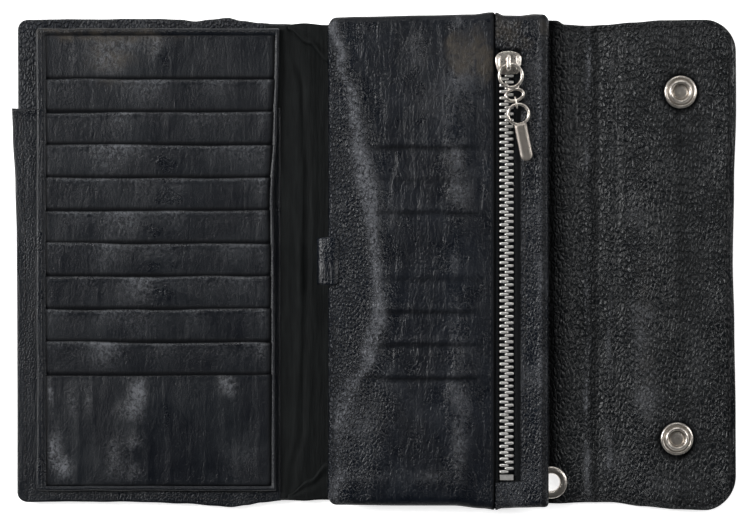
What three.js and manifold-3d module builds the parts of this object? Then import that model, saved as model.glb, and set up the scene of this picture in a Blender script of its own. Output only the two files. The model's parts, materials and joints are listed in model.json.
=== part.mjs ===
// Long trifold leather wallet, lying open on its back, inside face up.
// Millimetres, +X to the right (towards the snap flap), +Y to the top edge, +Z up.

import * as THREE from 'three';
import { mergeVertices } from 'three/addons/utils/BufferGeometryUtils.js';
import Module from 'manifold-3d';

const wasm = await Module();
wasm.setup();

// ---------------------------------------------------------------- driving dimensions

const HALF_LENGTH = 141;       // half of the opened wallet, left to right
const COVER_HALF_H = 94.5;     // half height of the cover
const GAP = 0.2;               // air between two layers that touch

const COVER_T = 1.8;           // outer leather
const LINING_T = 0.6;          // thin dark lining of the spine and the bill compartment
const FACING_T = 0.9;          // inner leather of the flap and of the strip beside it

const SNAP_STAND = 2.2;        // how far the snap hardware stands out of the cover
const SPINE_X = -19.3;         // fold between the spine and the back
const SPINE_W = 17.5;          // width of the spine strip
const WRAP_X = 85.4;           // fold between the back and the strip the flap wraps with
const HINGE_AIR = 0.1;         // each leather panel stops this short of its fold

const LEAF_HALF_H = 95.3;      // the middle leaf stands a little past the cover
const LEAF_RIGHT = 67.4;
const LEAF_Z = 7.6;            // underside of the leaf, above a 5 mm bill compartment
const LEAF_BACK_T = 0.8;
const WELT_T = 2.4;            // welt that spaces the two walls of the zip pocket
const LEAF_FRONT_T = 1.4;
const LEAF_FRONT_RIGHT = 46.3;
const SEAM_X = 61.3;           // the leaf folds up about the seam on its right

const CARD_LEFT = -131.5;
const CARD_RIGHT = -36.9;
const CARD_TOP = 90.8;
const CARD_BOTTOM = -88.9;
const CARD_COUNT = 10;
const CARD_MOUTH_Y = 71.2;     // mouth of the first card pocket
const CARD_PITCH = 12.76;
const CARD_T = 0.5;
const CARD_HIDDEN = 5;         // how far each pocket face runs on under the next one
const POCKET_MOUTH_Y = 59.8;   // mouth of the long slip pocket behind the cards

const ZIP_X = 51.0;            // centre of the chain
const ZIP_TOP_Y = 81.5;
const ZIP_BOTTOM_Y = -84.5;
const TEETH_PITCH = 2.45;
const TOOTH_W = 1.05;
const SLIDER_X = 51.6;
const SLIDER_Y = 77.0;
const PULL_TILT = 11.3;        // degrees, the pull hangs with its tip to the right
const PULL_DROOP = 2.0;        // degrees, its tip rests lower than its ring
const PULL_HINGE_Y = 76.1;

const SOCKET_POSITIONS = [[118.9, 66.1], [117.5, -68.7]];
const SNAP_R = 6.4;
const GROMMET_X = 68.8;
const GROMMET_Y = -85.9;
const GROMMET_R = 6.3;
const GROMMET_HOLE_R = 3.4;

// ---------------------------------------------------------------- derived dimensions

const SPINE_LEFT = SPINE_X - SPINE_W;
const FOLD_Z = COVER_T + GAP + FACING_T + GAP;
const SPINE_FOLD_Z = COVER_T + GAP + LINING_T + GAP;
const FRONT_FOLD_Z = SPINE_FOLD_Z + SNAP_STAND;

// Closed, the spine stands upright and the front lies upside down over the block,
// so a point at height z comes to rest at FRONT_CLOSED_TOP - z.
const SPINE_RISE = Math.hypot(SPINE_W, SNAP_STAND);
const FRONT_CLOSED_TOP = SPINE_FOLD_Z + SPINE_RISE + FRONT_FOLD_Z;
const FRONT_CLOSED_BACK = FRONT_CLOSED_TOP - SNAP_STAND;
const SNAP_GAP = 3.2;          // closed, between the front's outside and the flap's inside
const FLAP_INNER_Z = SNAP_STAND + COVER_T + GAP + FACING_T;
const FLAP_FOLD_Z = FOLD_Z + SNAP_STAND;
const WRAP_RISE = FRONT_CLOSED_BACK + SNAP_GAP + FLAP_INNER_Z - FLAP_FOLD_Z - FOLD_Z;
const WRAP_W = Math.sqrt(WRAP_RISE ** 2 - SNAP_STAND ** 2);
const FLAP_X = WRAP_X + WRAP_W;

const PULL_Z = LEAF_Z + 7.3;

// Each stud sits where its socket lands when front and flap are both closed.
const STUD_POSITIONS = SOCKET_POSITIONS.map(([x, y]) => {
  const closedX = WRAP_X - (x - FLAP_X);
  return [SPINE_LEFT + SPINE_X - closedX, y];
});

// ---------------------------------------------------------------- materials

function leather(name, color, roughness) {
  return new THREE.MeshStandardMaterial({ name, color, roughness, metalness: 0 });
}

function metal(name, color, roughness) {
  return new THREE.MeshStandardMaterial({ name, color, roughness, metalness: 1 });
}

const COVER_LEATHER = leather('cover_leather', 0x24282b, 0.5);
const FACING_LEATHER = leather('facing_leather', 0x2a2e31, 0.48);
const LEAF_LEATHER = leather('leaf_leather', 0x25292e, 0.45);
const CARD_LEATHER = leather('card_leather', 0x22262b, 0.5);
const LINING = leather('lining', 0x181b1d, 0.8);
const TAPE = leather('zip_tape', 0x141516, 0.9);
const SILVER = metal('silver', 0xbdb4aa, 0.3);
const TEETH = metal('zip_metal', 0xa9a39b, 0.35);

// ---------------------------------------------------------------- shape helpers

const wallet = new THREE.Group();

function put(name, geometry, material) {
  const mesh = new THREE.Mesh(geometry, material);
  mesh.name = name;
  wallet.add(mesh);
  return mesh;
}

function outline(points) {
  return new THREE.Shape(points.map(([x, y]) => new THREE.Vector2(x, y)));
}

// A flat layer with the given plan outline, from z0 up by t.
function layer(shape, z0, t) {
  const g = new THREE.ExtrudeGeometry(shape, { depth: t, bevelEnabled: false, curveSegments: 10 });
  g.translate(0, 0, z0);
  return g;
}

// A rectangle whose four corners have their own radii: top left, top right, bottom right, bottom left.
function cornered(x0, y0, x1, y1, radii) {
  const [tl, tr, br, bl] = radii;
  const s = new THREE.Shape();
  s.moveTo(x0, y0 + bl);
  s.lineTo(x0, y1 - tl);
  if (tl) s.quadraticCurveTo(x0, y1, x0 + tl, y1);
  s.lineTo(x1 - tr, y1);
  if (tr) s.quadraticCurveTo(x1, y1, x1, y1 - tr);
  s.lineTo(x1, y0 + br);
  if (br) s.quadraticCurveTo(x1, y0, x1 - br, y0);
  s.lineTo(x0 + bl, y0);
  if (bl) s.quadraticCurveTo(x0, y0, x0, y0 + bl);
  return s;
}

function rect(x0, y0, x1, y1) {
  return cornered(x0, y0, x1, y1, [0, 0, 0, 0]);
}

function hole(shape, x0, y0, x1, y1) {
  const corners = [[x0, y0], [x1, y0], [x1, y1], [x0, y1]];
  shape.holes.push(new THREE.Path(corners.map(([x, y]) => new THREE.Vector2(x, y))));
  return shape;
}

function ringPoints(x, y, rx, ry, count) {
  return Array.from({ length: count }, (_, i) => {
    const a = (i / count) * Math.PI * 2;
    return new THREE.Vector2(x + rx * Math.cos(a), y + ry * Math.sin(a));
  });
}

function roundHole(shape, x, y, r) {
  shape.holes.push(new THREE.Path(ringPoints(x, y, r, r, 32)));
  return shape;
}

// A section drawn in X and Z, run along Y from y0 to y1.
function sectionXZ(points, y0, y1) {
  const g = new THREE.ExtrudeGeometry(outline(points), { depth: y1 - y0, bevelEnabled: false });
  g.rotateX(Math.PI / 2);
  g.translate(0, y1, 0);
  return g;
}

// A section drawn in Y and Z, run along X from x0 to x1.
function sectionYZ(points, x0, x1) {
  const g = new THREE.ExtrudeGeometry(outline(points), { depth: x1 - x0, bevelEnabled: false });
  g.rotateX(Math.PI / 2);
  g.rotateZ(Math.PI / 2);
  g.translate(x0, 0, 0);
  return g;
}

function turned(profile, x, y, segments = 32) {
  const points = profile.map(([r, z]) => new THREE.Vector2(r, z));
  if (THREE.ShapeUtils.area(points) < 0) points.reverse();
  const g = new THREE.LatheGeometry(points, segments);
  g.rotateX(Math.PI / 2);
  g.translate(x, y, 0);
  return g;
}

function toSolid(geometry) {
  const bare = geometry.clone();
  bare.deleteAttribute('normal');
  bare.deleteAttribute('uv');
  const merged = mergeVertices(bare, 1e-5);
  return new wasm.Manifold(new wasm.Mesh({
    numProp: 3,
    vertProperties: new Float32Array(merged.attributes.position.array),
    triVerts: new Uint32Array(merged.index.array),
  }));
}

function toGeometry(solid) {
  const mesh = solid.getMesh();
  const g = new THREE.BufferGeometry();
  g.setAttribute('position', new THREE.BufferAttribute(new Float32Array(mesh.vertProperties), 3));
  g.setIndex(new THREE.BufferAttribute(new Uint32Array(mesh.triVerts), 1));
  g.computeVertexNormals();
  return g;
}

function cut(geometry, ...tools) {
  const solid = tools.reduce((left, tool) => left.subtract(toSolid(tool)), toSolid(geometry));
  return toGeometry(solid);
}

function joined(...geometries) {
  const [first, ...rest] = geometries.map(toSolid);
  return toGeometry(rest.reduce((sum, next) => sum.add(next), first));
}

function rod(x, y, z0, z1, r, segments = 32) {
  const g = new THREE.CylinderGeometry(r, r, z1 - z0, segments);
  g.rotateX(Math.PI / 2);
  g.translate(x, y, (z0 + z1) / 2);
  return g;
}

// ---------------------------------------------------------------- the back of the wallet

function buildBack() {
  const left = SPINE_X + HINGE_AIR;
  const right = WRAP_X - HINGE_AIR;
  const cover = layer(rect(left, -COVER_HALF_H, right, COVER_HALF_H), 0, COVER_T);
  const bore = rod(GROMMET_X, GROMMET_Y, -1, COVER_T + 1, GROMMET_HOLE_R + 0.9);
  const sink = rod(GROMMET_X, GROMMET_Y, -1, 0.85, GROMMET_R + 0.1);
  put('back_cover', cut(cover, bore, sink), COVER_LEATHER);

  const liningRight = SEAM_X - 5.4;
  const lining = rect(left, -COVER_HALF_H + 0.8, liningRight, COVER_HALF_H - 0.8);
  put('back_lining', layer(lining, COVER_T + GAP, LINING_T), LINING);

  const facing = rect(SEAM_X + 0.4, -COVER_HALF_H, right, COVER_HALF_H);
  roundHole(facing, GROMMET_X, GROMMET_Y, GROMMET_HOLE_R + 0.9);
  put('back_facing', layer(facing, COVER_T + GAP, FACING_T), FACING_LEATHER);

  const seam = rect(SEAM_X - 5.2, -COVER_HALF_H + 1, SEAM_X, COVER_HALF_H - 1);
  const seamBase = COVER_T + GAP;
  put('seam_welt', layer(seam, seamBase, LEAF_Z - GAP - seamBase), LEAF_LEATHER);
}

function buildGrommet() {
  const top = COVER_T + GAP + FACING_T + GAP;
  const inner = GROMMET_HOLE_R;
  const eyelet = [
    [inner, 0.95], [inner, top + 0.5], [inner + 0.5, top + 0.8], [GROMMET_R - 0.9, top + 0.7],
    [GROMMET_R, top + 0.2], [GROMMET_R, top], [inner + 0.7, top], [inner + 0.7, 0.95], [inner, 0.95],
  ];
  put('grommet_eyelet', turned(eyelet, GROMMET_X, GROMMET_Y), SILVER);
  const washer = [
    [inner + 0.1, 0.1], [inner + 0.1, 0.75], [GROMMET_R - 0.1, 0.75], [GROMMET_R - 0.1, 0.1],
    [inner + 0.1, 0.1],
  ];
  put('grommet_washer', turned(washer, GROMMET_X, GROMMET_Y), SILVER);
}

// The end gussets are folded webs: a wall under the leaf's end and a triangle over the spine.
function buildGusset(name, side) {
  const z0 = COVER_T + GAP + LINING_T + GAP;
  const webT = 0.6;
  const reach = SPINE_W - 3;
  const slope = SNAP_STAND / SPINE_W;
  const far = SEAM_X - 6;
  const web = sectionXZ([
    [SPINE_X - reach, z0 + slope * reach], [SPINE_X, z0], [far, z0],
    [far, z0 + webT], [SPINE_X, z0 + webT], [SPINE_X - reach, z0 + webT + slope * reach],
  ], -COVER_HALF_H, COVER_HALF_H);
  const plan = layer(outline([
    [SPINE_X - reach, side * 90.5], [SPINE_X, side * 92.6], [far, side * 92.6],
    [far, side * 86], [SPINE_X + 1, side * 77.6],
  ]), -5, 30);
  const wall = layer(outline([
    [SPINE_X + 1, side * 91.9], [far, side * 91.9], [far, side * 92.6], [SPINE_X + 1, side * 92.6],
  ]), z0, LEAF_Z - GAP - z0);
  const folded = toSolid(web).intersect(toSolid(plan)).add(toSolid(wall));
  put(name, toGeometry(folded), LINING);
}

// ---------------------------------------------------------------- the spine and the front panel

function slopedStrip(x0, x1, rise, z0, t, halfH) {
  return sectionXZ([
    [x0, z0 + rise[0]], [x1, z0 + rise[1]], [x1, z0 + t + rise[1]], [x0, z0 + t + rise[0]],
  ], -halfH, halfH);
}

function buildSpine() {
  const x0 = SPINE_LEFT + HINGE_AIR;
  const x1 = SPINE_X - HINGE_AIR;
  const rise = [SNAP_STAND, 0];
  put('spine_cover', slopedStrip(x0, x1, rise, 0, COVER_T, COVER_HALF_H), COVER_LEATHER);
  const lining = slopedStrip(x0, x1, rise, COVER_T + GAP, LINING_T, COVER_HALF_H - 0.8);
  put('spine_lining', lining, LINING);
}

function buildFront() {
  const base = SNAP_STAND;
  const right = SPINE_LEFT - HINGE_AIR;
  const edge = -HALF_LENGTH + 1.7;
  const cover = cornered(edge, -COVER_HALF_H, right, COVER_HALF_H, [4, 0, 0, 4]);
  put('front_cover', layer(cover, base, COVER_T), COVER_LEATHER);

  const pocketZ = base + COVER_T + GAP;
  const pocket = new THREE.Shape();
  pocket.moveTo(-HALF_LENGTH, POCKET_MOUTH_Y);
  pocket.lineTo(right, POCKET_MOUTH_Y);
  pocket.lineTo(right, -COVER_HALF_H);
  pocket.lineTo(edge + 4, -COVER_HALF_H);
  pocket.quadraticCurveTo(edge, -COVER_HALF_H, edge, -COVER_HALF_H + 4);
  pocket.lineTo(edge - 0.3, 20);
  pocket.lineTo(-HALF_LENGTH, POCKET_MOUTH_Y);
  put('slip_pocket', layer(pocket, pocketZ, 0.9), COVER_LEATHER);
  return pocketZ + 0.9 + GAP;
}

function buildCards(z0) {
  const backing = cornered(CARD_LEFT, CARD_BOTTOM, CARD_RIGHT, CARD_TOP, [1.5, 0, 0, 1.5]);
  put('card_backing', layer(backing, z0, 0.7), CARD_LEATHER);

  const binding = cornered(CARD_LEFT, CARD_BOTTOM, CARD_RIGHT, CARD_TOP, [1.5, 0, 0, 1.5]);
  hole(binding, CARD_LEFT + 3.8, CARD_BOTTOM + 1.6, CARD_RIGHT - 2.0, CARD_TOP - 2.6);
  put('card_binding', layer(binding, z0 + 0.7 + GAP, 1.5), CARD_LEATHER);

  // Pocket faces lie like shingles: each mouth rests on the face above it.
  const x0 = CARD_LEFT + 4.0;
  const x1 = CARD_RIGHT - 2.2;
  const slope = (CARD_T + GAP) / CARD_PITCH;
  const drop = slope * (CARD_PITCH + CARD_HIDDEN);
  const mouthZ = z0 + 0.7 + GAP + CARD_T + drop;
  const face = (yTop, yBottom, z, fall) => sectionYZ([
    [yTop, z - CARD_T], [yTop, z], [yBottom, z - fall], [yBottom, z - fall - CARD_T],
  ], x0, x1);

  const headTop = CARD_TOP - 2.8;
  const headBottom = CARD_MOUTH_Y - CARD_HIDDEN;
  const headFall = slope * (headTop - headBottom) * 0.6;
  const headZ = mouthZ - drop + headFall;
  put('card_head', face(headTop, headBottom, headZ, headFall), CARD_LEATHER);
  for (let i = 0; i < CARD_COUNT; i += 1) {
    const mouth = CARD_MOUTH_Y - i * CARD_PITCH;
    const last = i === CARD_COUNT - 1;
    const bottom = last ? CARD_BOTTOM + 1.8 : mouth - CARD_PITCH - CARD_HIDDEN;
    const name = `card_pocket_${String(i + 1).padStart(2, '0')}`;
    put(name, face(mouth, bottom, mouthZ, drop), CARD_LEATHER);
  }
  return mouthZ;
}

function buildStuds() {
  STUD_POSITIONS.forEach(([x, y], i) => {
    const top = SNAP_STAND - GAP;
    const stud = [
      [0, 0], [1.9, 0], [2.3, 0.35], [2.3, 0.8], [2.0, 1.1], [2.2, 1.4], [5.2, 1.5],
      [5.5, 1.75], [5.4, top], [0, top],
    ];
    put(`snap_stud_${i + 1}`, turned(stud, x, y), SILVER);
  });
}

// ---------------------------------------------------------------- the flap

function buildFlap() {
  const w0 = WRAP_X + HINGE_AIR;
  const w1 = FLAP_X - HINGE_AIR;
  const rise = [0, SNAP_STAND];
  put('wrap_cover', slopedStrip(w0, w1, rise, 0, COVER_T, COVER_HALF_H), COVER_LEATHER);
  const wrapFacing = slopedStrip(w0, w1, rise, COVER_T + GAP, FACING_T, COVER_HALF_H);
  put('wrap_facing', wrapFacing, FACING_LEATHER);

  const x0 = FLAP_X + HINGE_AIR;
  const plan = () => {
    const s = new THREE.Shape();
    const r = 12;
    s.moveTo(x0, -COVER_HALF_H);
    s.lineTo(x0, COVER_HALF_H);
    s.lineTo(HALF_LENGTH - r, COVER_HALF_H);
    s.absarc(HALF_LENGTH - r, COVER_HALF_H - r, r, Math.PI / 2, 0, true);
    s.lineTo(HALF_LENGTH, -COVER_HALF_H + r);
    s.absarc(HALF_LENGTH - r, -COVER_HALF_H + r, r, 0, -Math.PI / 2, true);
    s.lineTo(x0, -COVER_HALF_H);
    return s;
  };
  put('flap_cover', layer(plan(), SNAP_STAND, COVER_T), COVER_LEATHER);
  put('flap_facing', layer(plan(), SNAP_STAND + COVER_T + GAP, FACING_T), FACING_LEATHER);
}

function buildSockets() {
  SOCKET_POSITIONS.forEach(([x, y], i) => {
    const z = FLAP_INNER_Z + GAP;
    const socket = [
      [0, z], [0, z + 0.3], [3.05, z + 0.3], [3.05, z + 1.7], [3.5, z + 2.1], [4.4, z + 2.1],
      [5.6, z + 1.5], [6.1, z + 0.9], [SNAP_R, z + 0.6], [SNAP_R, z], [0, z],
    ];
    put(`snap_socket_${i + 1}`, turned(socket, x, y), SILVER);
    const cap = [
      [0, 0], [2.2, 0.1], [4.2, 0.45], [5.7, 1.0], [SNAP_R, 1.6], [SNAP_R, SNAP_STAND - GAP],
      [0, SNAP_STAND - GAP],
    ];
    put(`snap_cap_${i + 1}`, turned(cap, x, y), SILVER);
  });
}

// ---------------------------------------------------------------- the middle leaf and its zip pocket

const WELT_Z = LEAF_Z + LEAF_BACK_T + GAP;
const LEAF_FRONT_Z = WELT_Z + WELT_T + GAP;
const LEAF_TOP_Z = LEAF_FRONT_Z + LEAF_FRONT_T;

function buildLeaf() {
  const x0 = SPINE_X + 0.2;
  const h = LEAF_HALF_H;
  const back = cornered(x0, -h + 0.4, LEAF_RIGHT - 0.5, h - 0.4, [2, 1, 1, 2]);
  put('leaf_back', layer(back, LEAF_Z, LEAF_BACK_T), LEAF_LEATHER);

  const welt = cornered(x0 + 0.4, -h + 0.6, LEAF_RIGHT - 0.7, h - 0.6, [2, 1, 1, 2]);
  hole(welt, x0 + 4.4, -h + 6, LEAF_RIGHT - 5.9, h - 6);
  put('leaf_welt', layer(welt, WELT_Z, WELT_T), LEAF_LEATHER);

  const front = cornered(x0, -h, LEAF_FRONT_RIGHT, h, [4, 0.5, 0.5, 4]);
  put('leaf_front', layer(front, LEAF_FRONT_Z, LEAF_FRONT_T), LEAF_LEATHER);

  // The strip right of the zip turns over its two ends, so it is shaped like a bracket.
  const inner = LEAF_FRONT_RIGHT + 0.3;
  const strip = outline([
    [inner, h - 0.5], [LEAF_RIGHT - 1.5, h - 0.3], [LEAF_RIGHT, h - 3], [LEAF_RIGHT, -h + 2.5],
    [LEAF_RIGHT - 1.5, -h], [inner, -h], [inner, ZIP_BOTTOM_Y], [56.4, ZIP_BOTTOM_Y],
    [56.4, ZIP_TOP_Y + 0.5], [inner, ZIP_TOP_Y + 0.5],
  ]);
  put('zip_strip', layer(strip, LEAF_FRONT_Z, LEAF_FRONT_T), LEAF_LEATHER);
}

function buildLoop() {
  const z = LEAF_TOP_Z + GAP;
  const x0 = SPINE_X - 3.2;
  const x1 = SPINE_X + 5.6;
  const loop = sectionXZ([
    [x1, z], [x1, z + 1.0], [x0 + 1.2, z + 1.3], [x0, z + 0.3], [x0, z - 3.6],
    [x0 + 1.0, z - 3.6], [x0 + 1.0, z - 0.3], [x0 + 1.6, z],
  ], -8.9, 9.5);
  put('edge_loop', loop, LEAF_LEATHER);
}

// One row of teeth on its cord. The rows mesh like two combs, half a pitch apart.
function teethRow(side, y0, y1, shift) {
  const spine = ZIP_X + side * 2.9;
  const root = ZIP_X + side * 1.9;
  const tip = ZIP_X - side * 0.75;
  const half = TOOTH_W / 2;
  const points = [[spine, y0], [root, y0]];
  const first = y0 + 1 + shift;
  for (let y = first; y + half < y1 - 0.3; y += TEETH_PITCH) {
    points.push([root, y - half], [tip + side * 0.3, y - half]);
    points.push([tip, y - half + 0.25], [tip, y + half - 0.25]);
    points.push([tip + side * 0.3, y + half], [root, y + half]);
  }
  points.push([root, y1], [spine, y1]);
  return outline(side > 0 ? points : points.reverse());
}

function buildZip() {
  const tapeZ = LEAF_Z + 2.95;
  const y0 = -88;
  const y1 = 88;
  const left = rect(ZIP_X - 9.6, y0, ZIP_X - 3.1, y1);
  const right = rect(ZIP_X + 3.1, y0, ZIP_X + 9.6, y1);
  put('zip_tape_left', layer(left, tapeZ, 0.5), TAPE);
  put('zip_tape_right', layer(right, tapeZ, 0.5), TAPE);

  const teethY0 = ZIP_BOTTOM_Y + 2.4;
  const teethY1 = ZIP_TOP_Y - 0.6;
  const z = LEAF_Z + 2.2;
  const t = 2.3;
  put('zip_teeth_left', layer(teethRow(-1, teethY0, teethY1, 0), z, t), TEETH);
  put('zip_teeth_right', layer(teethRow(1, teethY0, teethY1, TEETH_PITCH / 2), z, t), TEETH);

  const stop = rect(ZIP_X - 2.6, ZIP_BOTTOM_Y + 0.2, ZIP_X + 2.6, ZIP_BOTTOM_Y + 2.2);
  put('zip_bottom_stop', layer(stop, z - 0.1, t + 0.3), TEETH);
}

function buildSlider() {
  const under = rect(SLIDER_X - 4.4, SLIDER_Y - 4, SLIDER_X + 3.6, SLIDER_Y + 4);
  put('slider_under_plate', layer(under, LEAF_Z + 1.3, 0.6), SILVER);

  const x = SLIDER_X;
  const plate = new THREE.Shape();
  plate.moveTo(x - 5.1, SLIDER_Y + 2.0);
  plate.quadraticCurveTo(x - 3.4, SLIDER_Y + 4.4, x, SLIDER_Y + 4.5);
  plate.quadraticCurveTo(x + 3.4, SLIDER_Y + 4.4, x + 5.1, SLIDER_Y + 2.0);
  plate.lineTo(x + 5.0, SLIDER_Y - 1.0);
  plate.lineTo(x + 3.8, SLIDER_Y - 4.4);
  plate.lineTo(x - 3.8, SLIDER_Y - 4.4);
  plate.lineTo(x - 5.0, SLIDER_Y - 1.0);
  plate.lineTo(x - 5.1, SLIDER_Y + 2.0);
  put('slider_body', layer(plate, LEAF_TOP_Z + GAP, 1.0), SILVER);

  const z = LEAF_TOP_Z + GAP + 1.0 + 0.05;
  const y0 = 73.4;
  const y1 = 80.2;
  const bail = sectionYZ([
    [y0, z], [y0, z + 2.3], [y0 + 0.9, z + 3.0], [y1 - 0.9, z + 3.0], [y1, z + 2.3], [y1, z],
    [y1 - 0.9, z], [y1 - 0.9, z + 1.8], [y1 - 1.3, z + 2.25], [y0 + 1.3, z + 2.25],
    [y0 + 0.9, z + 1.8], [y0 + 0.9, z],
  ], x - 0.9, x + 0.9);
  put('slider_bail', bail, SILVER);
}

// ---------------------------------------------------------------- the zip pull
// Built pointing along -Y from its hinge at the origin, then tilted into place.

function hang(geometry) {
  geometry.translate(0, -4.4, 0);
  geometry.rotateZ(THREE.MathUtils.degToRad(PULL_TILT));
  geometry.rotateX(THREE.MathUtils.degToRad(PULL_DROOP));
  geometry.translate(SLIDER_X, PULL_HINGE_Y, PULL_Z);
  return geometry;
}

function centred(shape, t, segments = 14) {
  const g = new THREE.ExtrudeGeometry(shape, {
    depth: t - 0.4,
    bevelEnabled: true,
    bevelThickness: 0.2,
    bevelSize: 0.2,
    bevelOffset: -0.2,
    bevelSegments: 1,
    curveSegments: segments,
  });
  g.translate(0, 0, -t / 2 + 0.2);
  return g;
}

function disc(x, y, rx, ry) {
  return new THREE.Shape(ringPoints(x, y, rx, ry, 30));
}

function buildPull() {
  // Link: a large ring for the bail, a waist, and a small oval eye.
  const big = centred(disc(0, 0, 5.1, 5.1), 1.3);
  const waist = centred(rect(-2.4, -8.2, 2.4, -4.2), 1.3);
  const small = centred(disc(0, -7.5, 4.1, 2.8), 1.3);
  const bigHole = rod(0, 0, -2, 2, 3.75, 28);
  const smallHole = rod(0, 0, -2, 2, 1, 24);
  smallHole.scale(2.8, 1.6, 1);
  smallHole.translate(0, -7.5, 0);
  const link = cut(joined(big, waist, small), bigHole, smallHole);
  put('pull_link', hang(link), SILVER);

  // Jump ring: an upright oval loop that ties the link's eye to the pendant's eye.
  const loop = new THREE.Shape();
  const y0 = -11.95;
  const y1 = -8.95;
  loop.absarc(y1 - 0.6, 0, 1.55, -Math.PI / 2, Math.PI / 2, false);
  loop.absarc(y0 + 0.6, 0, 1.55, Math.PI / 2, Math.PI * 1.5, false);
  const gap = new THREE.Path();
  gap.absarc(y1 - 0.6, 0, 0.85, -Math.PI / 2, Math.PI / 2, false);
  gap.absarc(y0 + 0.6, 0, 0.85, Math.PI / 2, Math.PI * 1.5, false);
  loop.holes.push(gap);
  const jump = new THREE.ExtrudeGeometry(loop, { depth: 1.2, bevelEnabled: false, curveSegments: 8 });
  jump.rotateX(Math.PI / 2);
  jump.rotateZ(Math.PI / 2);
  jump.translate(-0.6, 0, 0);
  put('pull_jump_ring', hang(jump), SILVER);

  // Pendant: a round eye and a plain flat tab with a round end.
  const eye = centred(disc(0, -15.1, 4.7, 4.6), 1.2);
  const tab = new THREE.Shape();
  tab.moveTo(-2.6, -18.8);
  tab.lineTo(-2.6, -30.8);
  tab.absarc(0, -30.8, 2.6, Math.PI, Math.PI * 2, false);
  tab.lineTo(2.6, -18.8);
  tab.lineTo(-2.6, -18.8);
  const eyeHole = rod(0, 0, -2, 2, 1, 24);
  eyeHole.scale(3.3, 3.2, 1);
  eyeHole.translate(0, -15.1, 0);
  const body = joined(cut(eye, eyeHole), centred(tab, 1.4));
  put('pull_pendant', hang(body), SILVER);
}

// ---------------------------------------------------------------- assembly

buildBack();
buildGrommet();
buildGusset('gusset_top', 1);
buildGusset('gusset_bottom', -1);
buildSpine();
buildCards(buildFront());
buildStuds();
buildFlap();
buildSockets();
buildLeaf();
buildLoop();
buildZip();
buildSlider();
buildPull();

export default wallet;
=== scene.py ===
import json
import math

import bpy
import numpy as np
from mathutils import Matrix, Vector


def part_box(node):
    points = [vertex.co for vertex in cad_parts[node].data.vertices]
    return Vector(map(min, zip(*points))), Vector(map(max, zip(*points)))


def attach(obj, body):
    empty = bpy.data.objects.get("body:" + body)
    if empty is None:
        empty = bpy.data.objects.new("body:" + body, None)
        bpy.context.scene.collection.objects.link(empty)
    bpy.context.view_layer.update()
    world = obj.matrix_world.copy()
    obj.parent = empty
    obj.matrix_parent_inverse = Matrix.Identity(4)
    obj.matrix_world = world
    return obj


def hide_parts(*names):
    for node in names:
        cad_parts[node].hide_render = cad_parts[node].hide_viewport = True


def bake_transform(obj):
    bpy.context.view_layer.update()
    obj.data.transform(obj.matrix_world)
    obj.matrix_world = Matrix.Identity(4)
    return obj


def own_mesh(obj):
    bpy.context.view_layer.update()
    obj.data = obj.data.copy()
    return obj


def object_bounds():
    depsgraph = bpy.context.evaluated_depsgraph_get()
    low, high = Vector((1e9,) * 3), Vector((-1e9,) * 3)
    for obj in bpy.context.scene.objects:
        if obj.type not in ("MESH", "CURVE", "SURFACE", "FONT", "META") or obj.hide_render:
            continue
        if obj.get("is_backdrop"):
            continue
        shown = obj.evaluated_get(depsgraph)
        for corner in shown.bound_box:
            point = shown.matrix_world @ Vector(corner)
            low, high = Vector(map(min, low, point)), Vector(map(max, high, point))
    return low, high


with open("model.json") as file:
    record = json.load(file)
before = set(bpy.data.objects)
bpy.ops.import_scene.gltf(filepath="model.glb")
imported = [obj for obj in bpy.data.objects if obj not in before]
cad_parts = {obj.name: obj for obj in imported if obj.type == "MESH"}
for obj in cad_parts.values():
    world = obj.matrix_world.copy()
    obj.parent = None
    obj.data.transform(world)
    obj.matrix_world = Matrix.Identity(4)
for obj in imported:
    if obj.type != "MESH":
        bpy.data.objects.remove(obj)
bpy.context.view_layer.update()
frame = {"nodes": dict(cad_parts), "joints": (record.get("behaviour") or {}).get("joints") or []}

# Everything below is worked out in millimetres and goes into meshes in metres.
MM = 0.001


def box(node):
    lo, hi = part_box(node)
    return [v * 1000 for v in lo], [v * 1000 for v in hi]


def joint(name):
    found = next(j for j in frame["joints"] if j["name"] == name)
    return [v * 1000 for v in found.get("pos_m", (0, 0, 0))]


SPINE_A = joint("spine_fold")[0]      # fold between the spine and the back
SPINE_B = joint("front_fold")[0]      # fold between the front panel and the spine
WRAP_C = joint("wrap_fold")[0]        # fold between the back and the wrap strip
WRAP_D = joint("flap_fold")[0]        # fold between the wrap strip and the flap
STAND = box("front_cover")[0][2]      # the snaps hold the front and the flap off the table
HALF_H = box("back_cover")[1][1]
COVER_T = 1.8

# ------------------------------------------------------------------ noise


def _hash(ix, iy, seed):
    n = (ix.astype(np.int64) * 374761393 + iy.astype(np.int64) * 668265263 + seed * 1442695041) & 0xFFFFFFFF
    n = ((n ^ (n >> 13)) * 1274126177) & 0xFFFFFFFF
    n = n ^ (n >> 16)
    return (n & 0xFFFF) / 32767.5 - 1.0


def noise(x, y, seed=0):
    """Smooth value noise from -1 to 1, one feature per unit."""
    x, y = np.broadcast_arrays(np.asarray(x, float), np.asarray(y, float))
    ix, iy = np.floor(x), np.floor(y)
    fx, fy = x - ix, y - iy
    fx, fy = fx * fx * (3 - 2 * fx), fy * fy * (3 - 2 * fy)
    a, b = _hash(ix, iy, seed), _hash(ix + 1, iy, seed)
    c, d = _hash(ix, iy + 1, seed), _hash(ix + 1, iy + 1, seed)
    return (a * (1 - fx) + b * fx) * (1 - fy) + (c * (1 - fx) + d * fx) * fy


def fbm(x, y, seed=0, octaves=3):
    total, gain = 0.0, 1.0
    for i in range(octaves):
        total = total + gain * noise(x * 2**i + 17.3 * i, y * 2**i - 9.1 * i, seed + i)
        gain *= 0.5
    return total


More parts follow.
